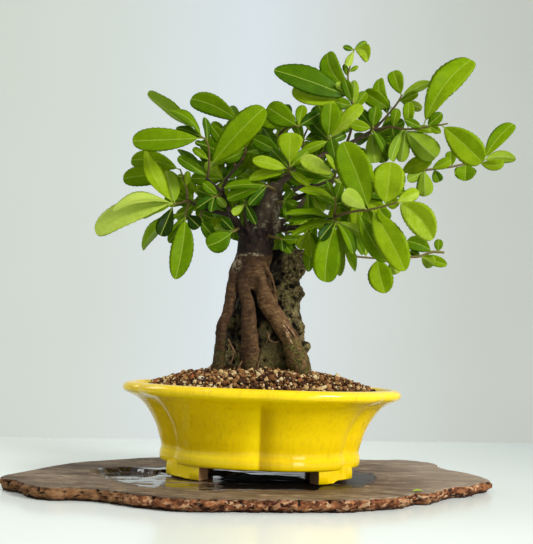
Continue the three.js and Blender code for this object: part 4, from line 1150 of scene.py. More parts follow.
# %% Where the wood runs, as across, down, depth and seen width
wood = {
    "bole": [
        (249, 292, -2, 28), (252, 275, 0, 36), (254, 257, 0, 35.5), (256.8, 238, 0, 35.6),
        (263, 226, 1, 30.5), (268, 213, 1, 23.2), (271, 201, 0, 19.9), (274, 191, 0, 17.5),
        (277, 184, 0, 13),
    ],
    "root left": [
        (243.5, 258, -3, 16), (239.5, 268, -4, 17.5), (233, 284, -8, 12), (231, 297, -10, 13),
        (227, 314, -12, 10.5), (221.5, 329, -14, 10.5), (220.5, 341, -15, 12), (219, 357, -16, 12),
        (216, 371, -17, 13), (210, 386, -18, 10),
    ],
    "root middle": [
        (247, 270, -8, 20), (243, 284, -12, 12), (247.6, 304, -14, 14), (249, 320, -15, 15),
        (249.5, 335, -16, 17), (250, 350, -17, 18.5), (250, 366, -18, 18), (248, 386, -19, 13),
    ],
    "root right": [
        (257, 270, -4, 24), (262, 284, -8, 20), (267, 303, -12, 19), (274.5, 314, -13, 18),
        (281, 326, -14, 18), (289, 337, -15, 18), (294, 350, -15, 20), (298, 363, -15, 23),
        (306, 384, -14, 15),
    ],
    "root strand": [(264, 264, -10, 6), (271, 277, -17, 3.4), (275, 290, -17, 3), (276, 305, -13, 4)],
    "root back left": [
        (247, 272, 6, 20), (241, 292, 16, 15), (237, 312, 25, 13), (233, 335, 32, 13), (230, 358, 36, 14),
        (226, 384, 38, 10),
    ],
    "root back right": [
        (260, 270, 8, 22), (270, 290, 22, 16), (280, 312, 35, 15), (288, 335, 42, 14), (294, 358, 45, 15),
        (300, 384, 46, 10),
    ],
    "limb left": [
        (253, 246, -4, 15), (243, 234, -8, 10), (236, 222, -10, 8), (230, 211, -10, 6.5),
        (226.5, 204, -10, 5), (221.5, 192.4, -10, 4.4), (216, 187, -12, 3.8), (206, 178, -14, 3),
    ],
    "limb left fork": [
        (222.5, 196, -10, 4.4), (223.5, 186, -6, 3.6), (229, 176, -2, 3.2), (236, 168, 2, 3),
        (243, 160, 4, 2.7),
    ],
    "limb left low": [
        (233, 216, -8, 6), (222, 213, 2, 4.6), (213, 211, 8, 4.2), (203, 208, 12, 3.8),
        (193, 203, 12, 3.2), (186, 199.5, 10, 3),
    ],
    "spur": [(251, 236, -12, 6), (246, 224, -15, 3.2), (244.8, 214, -16, 2.8), (244.8, 206, -17, 2.4)],
    "limb right": [
        (266, 233, -2, 10), (282, 228.6, -6, 6.5), (300, 227, -12, 5.2), (321, 223, -18, 4.6),
        (335, 217, -22, 4),
    ],
    "limb upper right": [
        (275, 193, 0, 13), (279, 185, -1, 8), (286, 178, 0, 6.4), (296, 171, 2, 5.6), (310, 162, 6, 5.2),
        (334, 149, 8, 4.8), (350, 143, 6, 4.5), (363, 136, 4, 4.2), (375, 129.5, 2, 3.8),
    ],
    "limb middle": [
        (272, 200, -2, 10), (284, 197.5, -6, 5), (292, 192, -8, 4.4), (303, 186, -10, 4),
        (318, 185, -12, 3.4), (332, 180.5, -12, 3), (350, 180, 0, 2.8), (375, 177, 8, 2.6),
        (402, 172, 14, 2.4),
    ],
    "limb stub": [(270, 228, -2, 10), (285, 220, -10, 5.4), (296, 212, -14, 4.8), (305, 198, -16, 3.8)],
    "limb centre": [
        (291, 176, 1, 5), (287, 163, 2, 4.2), (282, 152, 4, 3.6), (279, 140, 6, 3.2), (281, 130, 6, 2.8),
    ],
    "limb back left": [(265, 214, 4, 12), (252, 208, 24, 7.5), (240, 198, 42, 5.5), (231, 186, 56, 4)],
    "limb back right": [(275, 206, 4, 10), (292, 200, 24, 6.5), (312, 192, 42, 5), (332, 184, 56, 4)],
}
thick_start = 14  # a tube that starts wider than this gets more sides
thick_sides = 20
thin_sides = 12
wood_body = Body()
for rows in wood.values():
    wood_body.add_rings(seen_tube(rows, thick_sides if rows[0][3] > thick_start else thin_sides, 5))
print(len(wood), "roots and limbs")

# %% [markdown]
# Bark changes along the tree. The roots are warm brown and wrinkled across. Above them the old trunk is
# grey-brown and rough, with pale lichen on the side that gets the light. One finish blends the two by
# height, and its grain is stretched along or across the wood.

# %% Bark
wood_grain = 0.78
ledge_height = 199  # where the torn ledge of old bark runs round the trunk
bark = Finish("firethorn bark", roughness=0.85, specular=0.2)
bark_side, bark_back, bark_height = bark.axes()
ragged_line = bark.times(bark.math("SUBTRACT", bark.noise(14, detail=3), 0.5), 0.6)
old_wood = bark.math("ADD", bark.between(bark_height, 194, 202), ragged_line, clamp=True)
wrinkles = bark.noise(2.6, detail=6, rough=0.68, stretch=(0.5, 0.5, 1.1), distortion=0.5)
fibres = bark.noise(3.2, detail=6, rough=0.68, stretch=(1.1, 1.1, 0.6), distortion=0.4)
root_tone = bark.layers(
    bark.ramp(
        wrinkles, (0.3, paint(50, 33, 18)), (0.44, paint(84, 60, 35)), (0.58, paint(112, 84, 52)),
        (0.76, paint(158, 130, 92)),
    ),
    ((bark.noise(11, detail=3), 0.5, 0.68, 0, 0.5), paint(140, 92, 66), "MULTIPLY"),
)
pale_lichen = bark.times(
    bark.between(bark.noise(5, detail=4, rough=0.65), 0.56, 0.7, 0, 0.6),
    bark.between(bark_height, 204, 222, 0.25, 1),
)
trunk_tone = bark.layers(
    bark.ramp(
        fibres, (0.3, paint(10, 6, 4)), (0.47, paint(31, 20, 14)), (0.6, paint(54, 38, 28)),
        (0.78, paint(112, 96, 74)),
    ),
    ((bark_height, 218, 240, 0, 0.35), paint(104, 90, 70)),
    (pale_lichen, paint(142, 138, 108)),
)
off_middle = bark.math("ABSOLUTE", bark.math("ADD", bark_side, 14))
moss_height = bark.math("SUBTRACT", bark_height, bark.between(off_middle, 10, 20, 0, 18))
moss = bark.times(
    bark.between(moss_height, 118, 100),
    bark.between(bark.noise(5, detail=5, rough=0.65), 0.42, 0.54), 0.85,
)
moss_tone = bark.ramp(
    bark.noise(1.5, detail=4, rough=0.7), (0.35, paint(22, 19, 9)), (0.5, paint(62, 58, 22)),
    (0.65, paint(118, 120, 44)),
)
# Just below the torn ledge the trunk is painted darker: partly dark furrowed bark, partly painted shade under
# the ledge.
low_trunk = bark.times(bark.between(bark_height, 160, 176), bark.between(bark_height, 201, 194), 0.35)
# The lower back of the roots and trunk is painted near black: painted shade behind the trunk.
painted_back_shade = bark.times(bark.between(bark_back, 0, 24, 0, 0.8), bark.between(bark_height, 205, 185))
pale_spots = bark.times(
    bark.spots((-26, 191, 6, 10), (7.5, 231, 4.5, 17), (-14, 198.6, 15, 1.8)),
    bark.between(bark.noise(3.4, detail=5, rough=0.72), 0.4, 0.62), 0.75,
)
bark.set("Base Color", bark.layers(
    bark.mix(old_wood, root_tone, trunk_tone),
    (moss, moss_tone),
    (low_trunk, paint(150, 138, 120), "MULTIPLY"),
    # The left side of the wood is painted darker: painted shade on the side away from the light.
    ((bark_side, 6, -18, 0, 0.7), paint(128, 112, 92), "MULTIPLY"),
    (painted_back_shade, paint(20, 14, 8)),
    (pale_spots, paint(160, 146, 118)),
    # Wood that is enclosed between the roots is painted near black: painted shade.
    ((bark.kept("enclosed"), 0.32, 0.72, 0, 0.95), paint(8, 5, 3)),
))
bark.set("Normal", bark.bump(bark.mix(old_wood, wrinkles, fibres), 1.0, 0.9))

trunk = make_piece("roots_trunk_and_limbs", wood_body.points, wood_body.faces, [bark.material])
grown_together(trunk, wood_grain)
points, outward = points_of(trunk), normals_of(trunk)
heights = points[:, 2]
from_middle = np.hypot(points[:, 0], points[:, 1])
near_trunk = smooth_step((26 - from_middle) / 6) * smooth_step((262 - heights) / 10)
thick_share = np.maximum(smooth_step((215 - heights) / 30), near_trunk)  # 1 on roots and trunk, 0 on limbs
across_wrinkles = noise_at(points * (0.6, 0.6, 1.7), 5.0, 60, 3) * 0.24
upright_ridges = noise_at(points * (1.3, 1.3, 0.5), 5.0, 61, 3) * 0.55
lumps = noise_at(points, 9.0, 62, 2) * 0.95
old_share = smooth_step((heights - 196) / 14)
ledge = np.exp(-((heights - ledge_height - noise_at(points, 12.0, 63, 1) * 3) / 1.6) ** 2) * 1.1
relief = (across_wrinkles * (1 - old_share) + upright_ridges * old_share + lumps + ledge) * thick_share
relief += noise_at(points, 1.6, 64, 2) * 0.12
move_points(trunk, points + outward * relief[:, None])
place_piece(trunk, "bark", "trunk")

# %% [markdown]
# Between the roots hardly any light gets in, so those hollows look black, and that shade is painted into the
# bark and the rock. To find them, a few rays leave each point of wood and rock. The share that soon hits
# something says how enclosed it is.

# %% Find the hollows
ray_reach = 26.0
ray_count = 26
lowest_out = 0.2  # rays nearer to the surface than this share are skipped
start_gap = 0.4
height_limits = ((rock, 300.0), (trunk, 214.0))  # above them nothing is enclosed
steps = np.arange(ray_count) + 0.5
rise, around = 1 - 2 * steps / ray_count, steps * math.pi * (1 + 5 ** 0.5)
level_share = np.sqrt(1 - rise ** 2)
ways_out = np.column_stack([level_share * np.cos(around), level_share * np.sin(around), rise])
ray_ways = [Vector(way) for way in ways_out]
both = Body()
for piece, _ in height_limits:
    both.add(points_of(piece).tolist(), [face.vertices for face in piece.data.polygons])
solid = BVHTree.FromPolygons(both.points, both.faces)
for piece, height_limit in height_limits:
    enclosed = []
    for point, normal in zip(points_of(piece), normals_of(piece)):
        if point[2] > height_limit:
            enclosed.append(0.0)
            continue
        outward = Vector(normal)
        start = Vector(point) + outward * start_gap
        ways = [way for way in ray_ways if way.dot(outward) > lowest_out]
        hits = sum(solid.ray_cast(start, way, ray_reach)[0] is not None for way in ways)
        enclosed.append(hits / len(ways))
    keep_numbers(piece, "enclosed", enclosed)
    print(piece.name, "is enclosed by", round(float(np.mean(enclosed)), 2), "on average")

# %% [markdown]
# Thin rootlets hang in the hollows between the thick roots, and the right root has a patch where its bark
# tore into pale and reddish strands. They are too fine for the melted skin, so they are tubes of their own.

# %% Rootlets and torn strands
rootlet_rows = [
    [(228, 339, -19, 1.2), (231, 344, -22, 1.0), (234, 350, -23, 1.0), (236, 357, -21, 0.9)],
    [(229, 343, -20, 1.0), (232.5, 349, -21, 0.9), (233, 356, -22, 0.9), (231, 364, -22, 0.8)],
    [(267, 331, -16, 0.9), (268.5, 337, -20, 0.9), (266, 343, -19, 0.8)],
    [(270, 333, -17, 0.9), (269, 339, -21, 0.9), (273, 342, -20, 0.8), (279, 342, -20, 0.8)],
    [(242, 361, -22, 1.2), (239.5, 366, -26, 1.1), (237, 371, -28, 1.0)],
    [(214, 362, -20, 1.1), (209.5, 367, -20, 0.9), (206, 369, -20, 0.8)],
    [(262, 356, -20, 1.2), (259, 362, -24, 1.0), (258, 370, -25, 1.0)],
]
torn_rows = [
    [(283, 325, -23.5, 1.3), (287, 330, -24.5, 1.4), (290, 335, -24.5, 1.2)],
    [(285, 323, -22.5, 1.1), (289, 328, -23.5, 1.3), (293, 333, -23.5, 1.1), (296, 338, -23, 0.9)],
    [(284, 329, -24.5, 1.2), (288, 335, -25.5, 1.3), (291, 341, -25, 1.1)],
    [(287, 325, -22.5, 1.0), (291.5, 331, -22.5, 1.2), (295, 336, -22, 1.0)],
    [(286, 334, -25.5, 1.0), (289, 339, -26, 1.1), (293, 344, -25, 0.9)],
]


def strands(name, groups, finish):
    """Thin tubes joined into one piece."""
    body = Body()
    for rows in groups:
        body.add_rings(seen_tube(rows, 7, 6))
    place_piece(make_piece(name, body.points, body.faces, [finish.material]), "bark")


rootlet_finish = Finish("rootlets", roughness=0.8)
rootlet_finish.set("Base Color", rootlet_finish.ramp(
    rootlet_finish.noise(3, detail=3), (0.35, paint(74, 48, 26)), (0.65, paint(126, 92, 54))))
rootlet_finish.set("Normal", rootlet_finish.bump(rootlet_finish.noise(0.6), 0.2, 0.5))
torn_finish = Finish("torn bark", roughness=0.75)
torn_finish.set("Base Color", torn_finish.ramp(
    torn_finish.noise(2.2, detail=3), (0.4, paint(104, 68, 40)), (0.52, paint(142, 106, 70)),
    (0.66, paint(190, 170, 128))))
torn_finish.set("Normal", torn_finish.bump(torn_finish.noise(0.5), 0.25, 0.6))
strands("rootlets", rootlet_rows, rootlet_finish)
strands("torn_bark_strands", torn_rows, torn_finish)

# %% [markdown]
# ## Leafy shoots
#
# Every leaf that the front shows was read off as a row: where it leaves its twig, where its tip is, how wide
# it looks, how far it leans back, which face it turns to the eye, and how far its middle bows aside. Two more
# numbers say how light it looks, its own green together with painted light and shade, and what its outline is
# like. Leaves could be scattered over the twigs by chance, which is quick and fits any plant, but then no
# leaf would stand where it stands on this one.

# %% Shoots, with a row for each leaf
shoots = {
    "left_crown": ([
        (207.5, 179, -13, 3), (209, 165, -20, 2.4), (209, 150, -26, 2.2), (206, 140, -31, 2),
        (200, 136, -35, 1.8),
    ], [
        (201, 136, 147, 95, 12, 20, -1, 2.5, 6, 0), (202, 137, 169, 110, 10, 9, 1, -4, 4, 2),
        (203, 138, 132.5, 141, 24, -8, 1, 0.5, 5, 0), (204, 139, 176, 127, 9, 2, 1, 0, 2, 2),
        (208, 160, 193, 148, 8, -6, 1, 0, 5, 0), (208, 146, 195, 142, 6, -4, 1, 0, 2, 0),
        (207, 143, 205, 117, 8, 6, 1, 0, 3, 2), (209, 168, 264, 108, 28, -20, 1, 2, 5, 0),
        (208, 177, 178, 157, 12, -6, 1, 0, 4, 0), (208, 172, 178, 149, 7, 2, 1, 3, 3, 2),
        (209, 170, 244, 147, 9, -10, 1, 0, 4, 3),
    ]),
    "left_top": ([
        (187, 200, 10, 2.8), (187, 192, 12, 2.3), (186, 186, 14, 2.1), (183, 177, 16, 1.9),
        (180, 169, 18, 1.7),
    ], [
        (181, 170, 131, 160, 20, -4, 1, -4, 5, 0), (183, 177, 123, 179, 21, -12, 1, -3, 5, 0),
        (186, 187, 188, 171, 7, 5, 1, 0, 6, 2),
    ]),
    "left_long": ([
        (188, 200.5, 11, 2.6), (180, 203, -2, 2.2), (173, 204, -14, 2),
    ], [
        (174, 203.5, 145, 146, 17, 2, 1, 8, 7, 4), (175, 203.5, 166, 171, 22, 9, -1, 0, 7, 0),
        (173, 203, 95, 230.5, 24, -14, 1, -4, 9, 0), (170, 204.4, 113, 210.5, 11, -26, 1, -5, 9, 2),
        (173, 204, 143, 219, 7, -4, 1, 0, 6, 3), (174, 204, 160.7, 235, 17, -14, 1, 0, 0, 1),
        (176, 204, 136, 212, 8, 14, -1, 0, 7, 3),
    ]),
    "left_hanging": ([
        (189, 201.5, 11, 2.6), (187, 208, -1, 2.2), (185, 217, -16, 2),
    ], [
        (185, 216, 169, 243, 12, 3, 1, 0, 4, 2), (185, 217, 175.4, 279, 23, -10, 1, 2, 5, 2),
        (186, 214, 199.5, 227, 15, -8, 1, 0, 0, 1), (186, 212, 142.4, 249, 13, 16, 1, -3, 5, 0),
    ]),
    "left_under": ([
        (203, 208.5, 11, 3), (201, 214, 2, 2.2), (199.5, 220, -8, 1.9),
    ], [
        (199.5, 219.5, 217, 241, 14, -6, 1, 0, 3, 0), (201, 214, 213, 218.5, 9, -3, 1, 0, 3, 0),
        (200, 217, 209, 228, 9, 8, 1, 0, 4, 0),
    ]),
    "trunk_left": ([
        (239, 228, -10, 3.6), (236, 230, -18, 2.6), (232, 232, -24, 2),
    ], [
        (232, 232, 207, 246, 22, -3, 1, 2, 4, 0), (234, 231, 222, 219, 11, -2, 1, 0, 1, 0),
        (233, 231.5, 214, 228, 11, 4, -1, 0, 6, 2),
    ]),
    "spur": ([
        (244.8, 208, -17, 2.6), (245.5, 201, -19, 2),
    ], [
        (245.3, 203.6, 256, 224.5, 9, -6, 1, 0, 1, 2), (245.2, 204.2, 232, 214, 9, -5, -1, 0, 7, 0),
        (245.5, 202, 236, 192, 9, 3, 1, 0, 3, 2), (245.5, 203, 258, 195, 10, 4, 1, 0, 2, 0),
    ]),
    "left_fork": ([
        (222.2, 194, -10, 3.2), (218, 196, -17, 2.2), (213, 197, -21, 1.9),
    ], [
        (213.5, 197, 197, 208, 12, -3, 1, 0, 2, 0), (215, 196.5, 197, 190, 10, 5, 1, 0, 3, 2),
        (218, 195.5, 203, 183, 11, -6, 1, 0, 4, 0), (214, 197, 211, 212, 9, -6, 1, 0, 2, 0),
        (216, 196, 226, 207, 9, 5, -1, 0, 5, 2),
    ]),
    "bole_top": ([
        (275, 190, -6, 4), (270, 187, -15, 2.4), (265, 185.5, -19, 2),
    ], [
        (266, 186, 224, 187, 10, -6, 1, 0, 4, 3), (265.5, 186, 227, 199, 13, 3, 1, 0, 4, 0),
        (267, 186, 240, 176, 11, 6, 1, 0, 4, 0), (267, 186, 249, 205, 11, -5, 1, 0, 2, 0),
    ]),
    "centre_left": ([
        (242, 161, 4, 3), (246, 150, 5, 2.4), (244, 136, 7, 2.1), (240, 122, 10, 1.9),
    ], [
        (240, 123, 191, 99, 22, 4, 1, -4, 4, 0), (245.5, 148, 249, 130, 8, -5, 1, 0, 5, 2),
        (244, 136, 222, 128, 12, 8, 1, 0, 4, 0), (242, 129, 252, 110, 11, 8, 1, 0, 4, 0),
        (246, 151, 225, 160, 13, -3, 1, 0, 4, 0), (245.5, 153, 266, 147, 13, 7, 1, 0, 3, 0),
        (241, 125, 230, 106, 11, 10, 1, 0, 4, 2),
    ]),
    "centre_right": ([
        (280.5, 133, 6, 3), (288, 127, -6, 2.3), (299, 126.5, -18, 2),
    ], [
        (282, 131.5, 263, 112, 24, -10, 1, 0, 5, 1), (298, 126.5, 267, 107, 24, -1, 1, 0, 4, 0),
        (299, 126, 303, 105, 12, 6, 1, 0, 5, 2), (290, 127, 285, 104, 12, 9, 1, 0, 3, 0),
        (299, 126.5, 320, 113, 13, 6, 1, 0, 2, 0),
    ]),
    "centre_dark": ([
        (283.5, 156, 3, 3.4), (279, 151, -5, 2.2),
    ], [
        (279.5, 151.5, 254, 139, 16, -4, 1, 0, 3, 0), (280.5, 152.5, 263, 128, 12, 9, 1, 0, 2, 2),
        (280, 152, 262, 158, 10, 5, 1, 0, 3, 2),
    ]),
    "centre_young": ([
        (291, 175, 0, 4), (288, 171, -14, 2.5), (290, 166, -26, 2.1),
    ], [
        (289.7, 167, 290, 132.5, 26, -10, 1, 0, 7, 1), (288.6, 169, 253, 160, 13, -11, 1, 0, 7, 0),
        (288, 171, 248, 179, 11, -8, 1, 0, 6, 3), (288.5, 170, 310, 187, 9, -8, 1, 0, 6, 3),
        (289.2, 168, 271, 149, 11, 6, 1, 0, 3, 0), (289.6, 167, 308, 151, 12, 6, 1, 0, 5, 0),
    ]),
    "centre_small": ([
        (306, 165, 5, 3), (304, 150, 13, 2.2), (304, 137, 20, 2), (311, 122, 25, 1.7),
        (310, 117, 27, 1.5),
    ], [
        (304, 142, 294, 121, 11, 6, 1, 0, 4, 0), (304.3, 140, 323, 133, 13, 5, 1, 0, 3, 0),
        (310.5, 119, 318, 106, 8, -2, 1, 0, 2, 2), (304, 146, 320, 146, 11, -3, 1, 0, 5, 0),
    ]),
    "middle_bright": ([
        (331, 181, -12, 3.2), (334, 177, -23, 2.3), (338, 168, -30, 2),
    ], [
        (335, 175, 301, 158, 17, -4, 1, 0, 8, 0), (333, 179, 296, 167, 14, 3, 1, 0, 4, 0),
        (336, 172, 326, 154, 6, -6, 1, 0, 7, 3), (338, 168.5, 331, 139, 14, 2, 1, 0, 3, 0),
        (333.5, 178, 345, 189, 8, -6, -1, 0, 8, 2),
    ]),
    "hub_up": ([
        (334, 217, -22, 3), (335.5, 207, -27, 2.3), (335, 197, -30, 2),
    ], [
        (335.1, 198, 298.6, 190, 9, -4, 1, 0, 6, 3), (335.2, 200, 341, 183, 11, -3, 1, 0, 4, 2),
        (335.4, 205, 318, 196, 9, 4, 1, 0, 4, 0), (335.2, 199, 327, 181, 8, 3, 1, 0, 4, 3),
        (335.4, 204, 350, 201, 9, -5, 1, 0, 2, 2),
    ]),
    "right_fan": ([
        (335, 217, -22, 3.6), (346, 213, -32, 2.8), (357, 211, -38, 2.6), (370, 209.5, -44, 2.4),
        (385, 206, -50, 2.1), (398, 202, -56, 1.8),
    ], [
        (369, 209.6, 343, 142, 35, -8, 1, -1, 5, 2), (385, 206, 391, 162, 34, -2, 1, 0, 7, 2),
        (397.5, 202, 433, 239, 29, -10, 1, 5, 7, 2), (371, 209.5, 405, 271, 29, -18, 1, 2, 6, 2),
        (358, 211, 387, 262, 20, -6, 1, -3, 4, 0), (367, 210, 343, 192, 18, -18, -1, 0, 8, 0),
        (378, 208, 388, 221, 15, -6, 1, 0, 5, 0), (396, 203, 419, 191, 14, 6, 1, 0, 8, 2),
    ]),
    "hub_down": ([
        (334.5, 217, -22, 3), (336, 223, -33, 2.2),
    ], [
        (335.5, 221, 367, 236, 12, -9, -1, 0, 7, 0), (336, 223, 325, 282, 28, -8, 1, -3, 5, 0),
        (336, 223, 356.6, 271, 10, -2, 1, -3, 5, 3), (336, 222, 339, 276, 9, 8, -1, 0, 6, 0),
        (335, 220, 320, 239, 12, -14, 1, 0, 1, 1), (336, 222, 353, 254, 11, -12, 1, 2, 4, 0),
        (335.5, 221, 364, 254, 12, 3, 1, 1, 4, 0), (334.5, 218, 286.6, 221, 8, -12, 1, 0, 4, 3),
        (334.7, 219, 291, 236, 8, -7, 1, 0, 5, 3), (334.6, 218, 285, 214, 8, -3, 1, 0, 4, 3),
    ]),
    "low_right": ([
        (325, 222, -19, 3.6), (332, 240, -8, 2.5), (346.4, 253.6, 0, 2.3), (373, 258, 6, 2.1),
        (411, 257, 10, 2.6), (421, 256, 12, 2.6), (432, 252, 14, 2.8), (444, 252.5, 16, 2.4),
    ], [
        (377, 258, 385, 293, 25, -8, 1, -1, 6, 2), (390, 257.8, 397, 274, 12, -3, -1, 0, 7, 0),
        (432, 252, 407, 241, 16, -3, 1, -2, 4, 0), (422, 257, 447, 265, 11, -7, 1, 0, 6, 2),
        (438, 252, 439, 239, 9, 2, 1, 0, 4, 2), (421, 257, 434, 265, 14, -9, -1, 0, 7, 2),
        (366, 257, 364, 243, 9, 3, -1, 0, 6, 0), (421, 256, 410, 251, 8, 5, 1, 0, 3, 3),
    ]),
    "far_right": ([
        (400, 172.4, 13, 3), (415, 171, 17, 2.6), (430, 169.5, 20, 2.5), (450, 167, 24, 2.3),
        (465, 164, 28, 2.2), (478, 163, 30, 2), (484, 160, 32, 1.8),
    ], [
        (401, 172.3, 431, 158, 16, -5, 1, 0, 6, 0), (484, 160.2, 513, 124, 17, 8, 1, 2, 5, 0),
        (483, 160.6, 516, 159, 13, -4, -1, 3, 7, 2), (479, 162.6, 504, 164, 11, -10, 1, -2, 6, 0),
        (466, 164, 465, 181, 22, -8, 1, 0, 5, 2), (452, 166.5, 450, 151, 11, 4, 1, 0, 5, 2),
        (431, 169.4, 451, 160, 11, -6, 1, 0, 6, 0), (434, 169, 439, 182, 11, 5, 1, 0, 4, 0),
        (424, 170, 425, 197, 17, -9, -1, 0, 7, 2), (428, 169.7, 407, 180, 12, -4, -1, 0, 6, 2),
    ]),
    "upper_right": ([
        (373, 130.5, 2, 3.4), (390, 127, -6, 2.6), (402, 129, -12, 2.3), (412, 129, -16, 2.2),
        (425, 127, -20, 2), (440, 125, -24, 1.9), (448, 123.5, -26, 1.6),
    ], [
        (423, 127.2, 471, 60, 29, 6, 1, 5.5, 6, 0), (427, 126.8, 442, 113, 12, -6, 1, 0, 4, 2),
        (408, 129, 409, 102, 12, -4, 1, 0, 5, 0), (393, 127.4, 397, 108, 11, 7, 1, 0, 5, 2),
        (430, 126.3, 441, 133, 8, -4, 1, 0, 5, 3), (422, 127.3, 405, 120, 9, -3, 1, 0, 4, 2),
        (410, 129, 436, 131, 8, 2, 1, 0, 6, 3), (404, 129, 436, 158, 26, -12, -1, 0, 6, 0),
        (441, 125, 482, 162, 29, -9, 1, 1, 6, 0), (392, 127.3, 398, 151, 9, -3, 1, 0, 3, 2),
        (403, 129, 391, 161, 12, -9, -1, 0, 5, 0), (406, 129, 401, 162, 14, 4, -1, 0, 6, 0),
    ]),
    "right_inner": ([
        (370, 133, 3, 3.4), (373, 127, -9, 2.3),
    ], [
        (373, 127, 376, 107, 15, -5, 1, 0, 4, 0), (372.5, 128, 359, 110, 12, -1, 1, 0, 2, 0),
        (372.3, 128.6, 350, 124, 12, -4, 1, 0, 6, 0), (371.5, 130, 375, 163, 18, -12, -1, 0, 6, 0),
        (372, 129, 388, 158, 9, -4, 1, 0, 3, 3),
    ]),
    "right_tower": ([
        (373.5, 130.5, 3, 3), (384, 119, 12, 2.4), (392, 110, 18, 2.2), (398, 102, 22, 2),
        (402, 95, 25, 1.8),
    ], [
        (401.5, 96, 393, 71, 16, 3, 1, 0, 5, 0), (393, 108.5, 379.5, 78.5, 14, 6, 1, 6, 5, 0),
        (392, 110, 364, 92, 18, -2, 1, 0, 5, 0), (398, 102, 418, 93, 9, -6, 1, 0, 5, 0),
        (401.5, 96, 431, 82, 10, -4, -1, 0, 7, 2), (399, 100, 422, 109, 10, -10, -1, 0, 8, 0),
        (388, 115, 384, 98, 10, 12, 1, 0, 2, 2),
    ]),
    "top": ([
        (346, 145.5, 7, 3.4), (351, 130, 2, 2.7), (353, 115, -2, 2.5), (352, 100, -6, 2.3),
        (350, 88, -9, 2.1), (348, 79, -10, 2), (349, 70, -10, 1.8), (352, 60, -9, 1.7),
        (354, 49, -8, 1.5),
    ], [
        (353.8, 50, 347, 66, 8, -8, -1, 0, 8, 0), (353.8, 50, 343, 46.5, 6, -2, 1, 0, 3, 2),
        (353.9, 49.5, 368, 61, 15, -3, 1, 6, 7, 2), (353.9, 49.5, 367, 41.5, 6, 4, 1, 0, 4, 2),
        (348, 77, 344, 64, 6, 3, 1, 0, 4, 2), (349, 72, 358.5, 66, 5, -3, 1, 0, 6, 3),
        (351.8, 98, 274, 70, 26, -12, 1, 0, 3, 2), (350.2, 89, 327, 53, 22, 2, 1, 6, 4, 0),
        (352, 100, 292, 91, 18, -4, 1, 5, 7, 0), (352.5, 106, 336, 102, 12, -6, 1, 0, 4, 0),
        (349, 84, 331, 70, 9, 8, 1, 0, 3, 0), (351.6, 96, 336, 83, 8, -10, -1, 0, 7, 0),
        (352.2, 103, 345, 80, 11, -12, 1, 0, 4, 0), (352.6, 108, 354.5, 80, 11, -16, -1, 0, 8, 2),
        (352.7, 110, 366, 92, 11, -6, 1, 0, 5, 0),
    ]),
    "top_folded": ([
        (333, 150, 8, 3.6), (330, 144, -5, 2.4), (328, 138, -15, 2.1),
    ], [
        (328.3, 139, 331, 103, 22, -9, 1, 0, 5, 0), (328.6, 140, 362, 105, 15, -5, 1, 0, 7, 0),
        (328.8, 140.5, 302, 152, 11, -9, 1, 0, 5, 0), (328.5, 139.5, 310, 121, 12, 7, 1, 0, 2, 2),
        (329.5, 142, 346, 134, 9, 6, 1, 0, 3, 0),
    ]),
    "low_centre": ([
        (306, 226.5, -13, 3.6), (309, 232, -21, 2.2),
    ], [
        (309, 231.5, 311.6, 258, 13, -6, 1, 0, 6, 0), (308.5, 231, 299, 249, 11, 3, 1, 0, 6, 0),
        (309, 231, 321, 251, 12, -1, 1, 0, 4, 0), (308.8, 231.5, 309, 272, 13, 8, 1, 0, 4, 2),
    ]),
    "trunk_right": ([
        (266, 235, -8, 4), (276, 237.5, -17, 2.6), (282, 239, -21, 2),
    ], [
        (281.7, 239, 291, 253, 11, -2, 1, 0, 3, 2), (281.8, 239, 296, 240, 10, -6, 1, 0, 4, 2),
        (281.5, 239, 283, 251, 8, -6, 1, 0, 2, 2),
    ]),
    "trunk_high": ([
        (275, 203, -5, 3.4), (284, 201, -14, 2),
    ], [
        (283.6, 201, 292, 213, 8, -3, 1, 0, 3, 2), (283.8, 201, 286, 220, 7, -8, 1, 0, 3, 2),
        (283.8, 201, 299, 206, 9, 3, 1, 0, 4, 2), (283.6, 201, 293, 190, 9, -1, 1, 0, 3, 2),
    ]),
}

# Shoots behind and inside the crown, from the start of the twig to its end
inner_shoots = [
    ((232, 188, 54), (214, 166, 66)),
    ((234, 190, 50), (242, 160, 62)),
    ((236, 193, 48), (212, 205, 62)),
    ((241, 199, 41), (248, 224, 60)),
    ((330, 185, 54), (350, 166, 66)),
    ((326, 187, 51), (316, 160, 64)),
    ((328, 186, 52), (348, 212, 62)),
    ((310, 193, 41), (306, 218, 56)),
    ((334, 149, 9), (330, 122, 34)),
    ((363, 136, 5), (386, 136, 34)),
    ((205, 209, 12), (186, 196, 36)),
    ((236, 168, 3), (226, 138, 28)),
    ((279, 141, 7), (270, 130, 34)),
    ((362, 178.6, 4), (384, 190, 30)),
    ((288, 180, 3), (280, 170, 34)),
    ((292, 200, 25), (296, 182, 44)),
    ((286, 229, -4), (286, 238, 26)),
    ((303, 186, -8), (312, 194, 18)),
    ((236, 221, -8), (232, 206, 20)),
    ((229, 177, 0), (220, 182, 28)),
    ((275, 190, 3), (262, 182, 30)),
    ((350, 180, 2), (366, 208, 26)),
]
print(sum(len(rows) for _, rows in shoots.values()), "leaves that the front shows")

# %% [markdown]
# In the CAD model a leaf steps forward or back where it would run into another one. The same few steps are
# tried here, and the one whose corners are found among the CAD node's points is the leaf's true place.

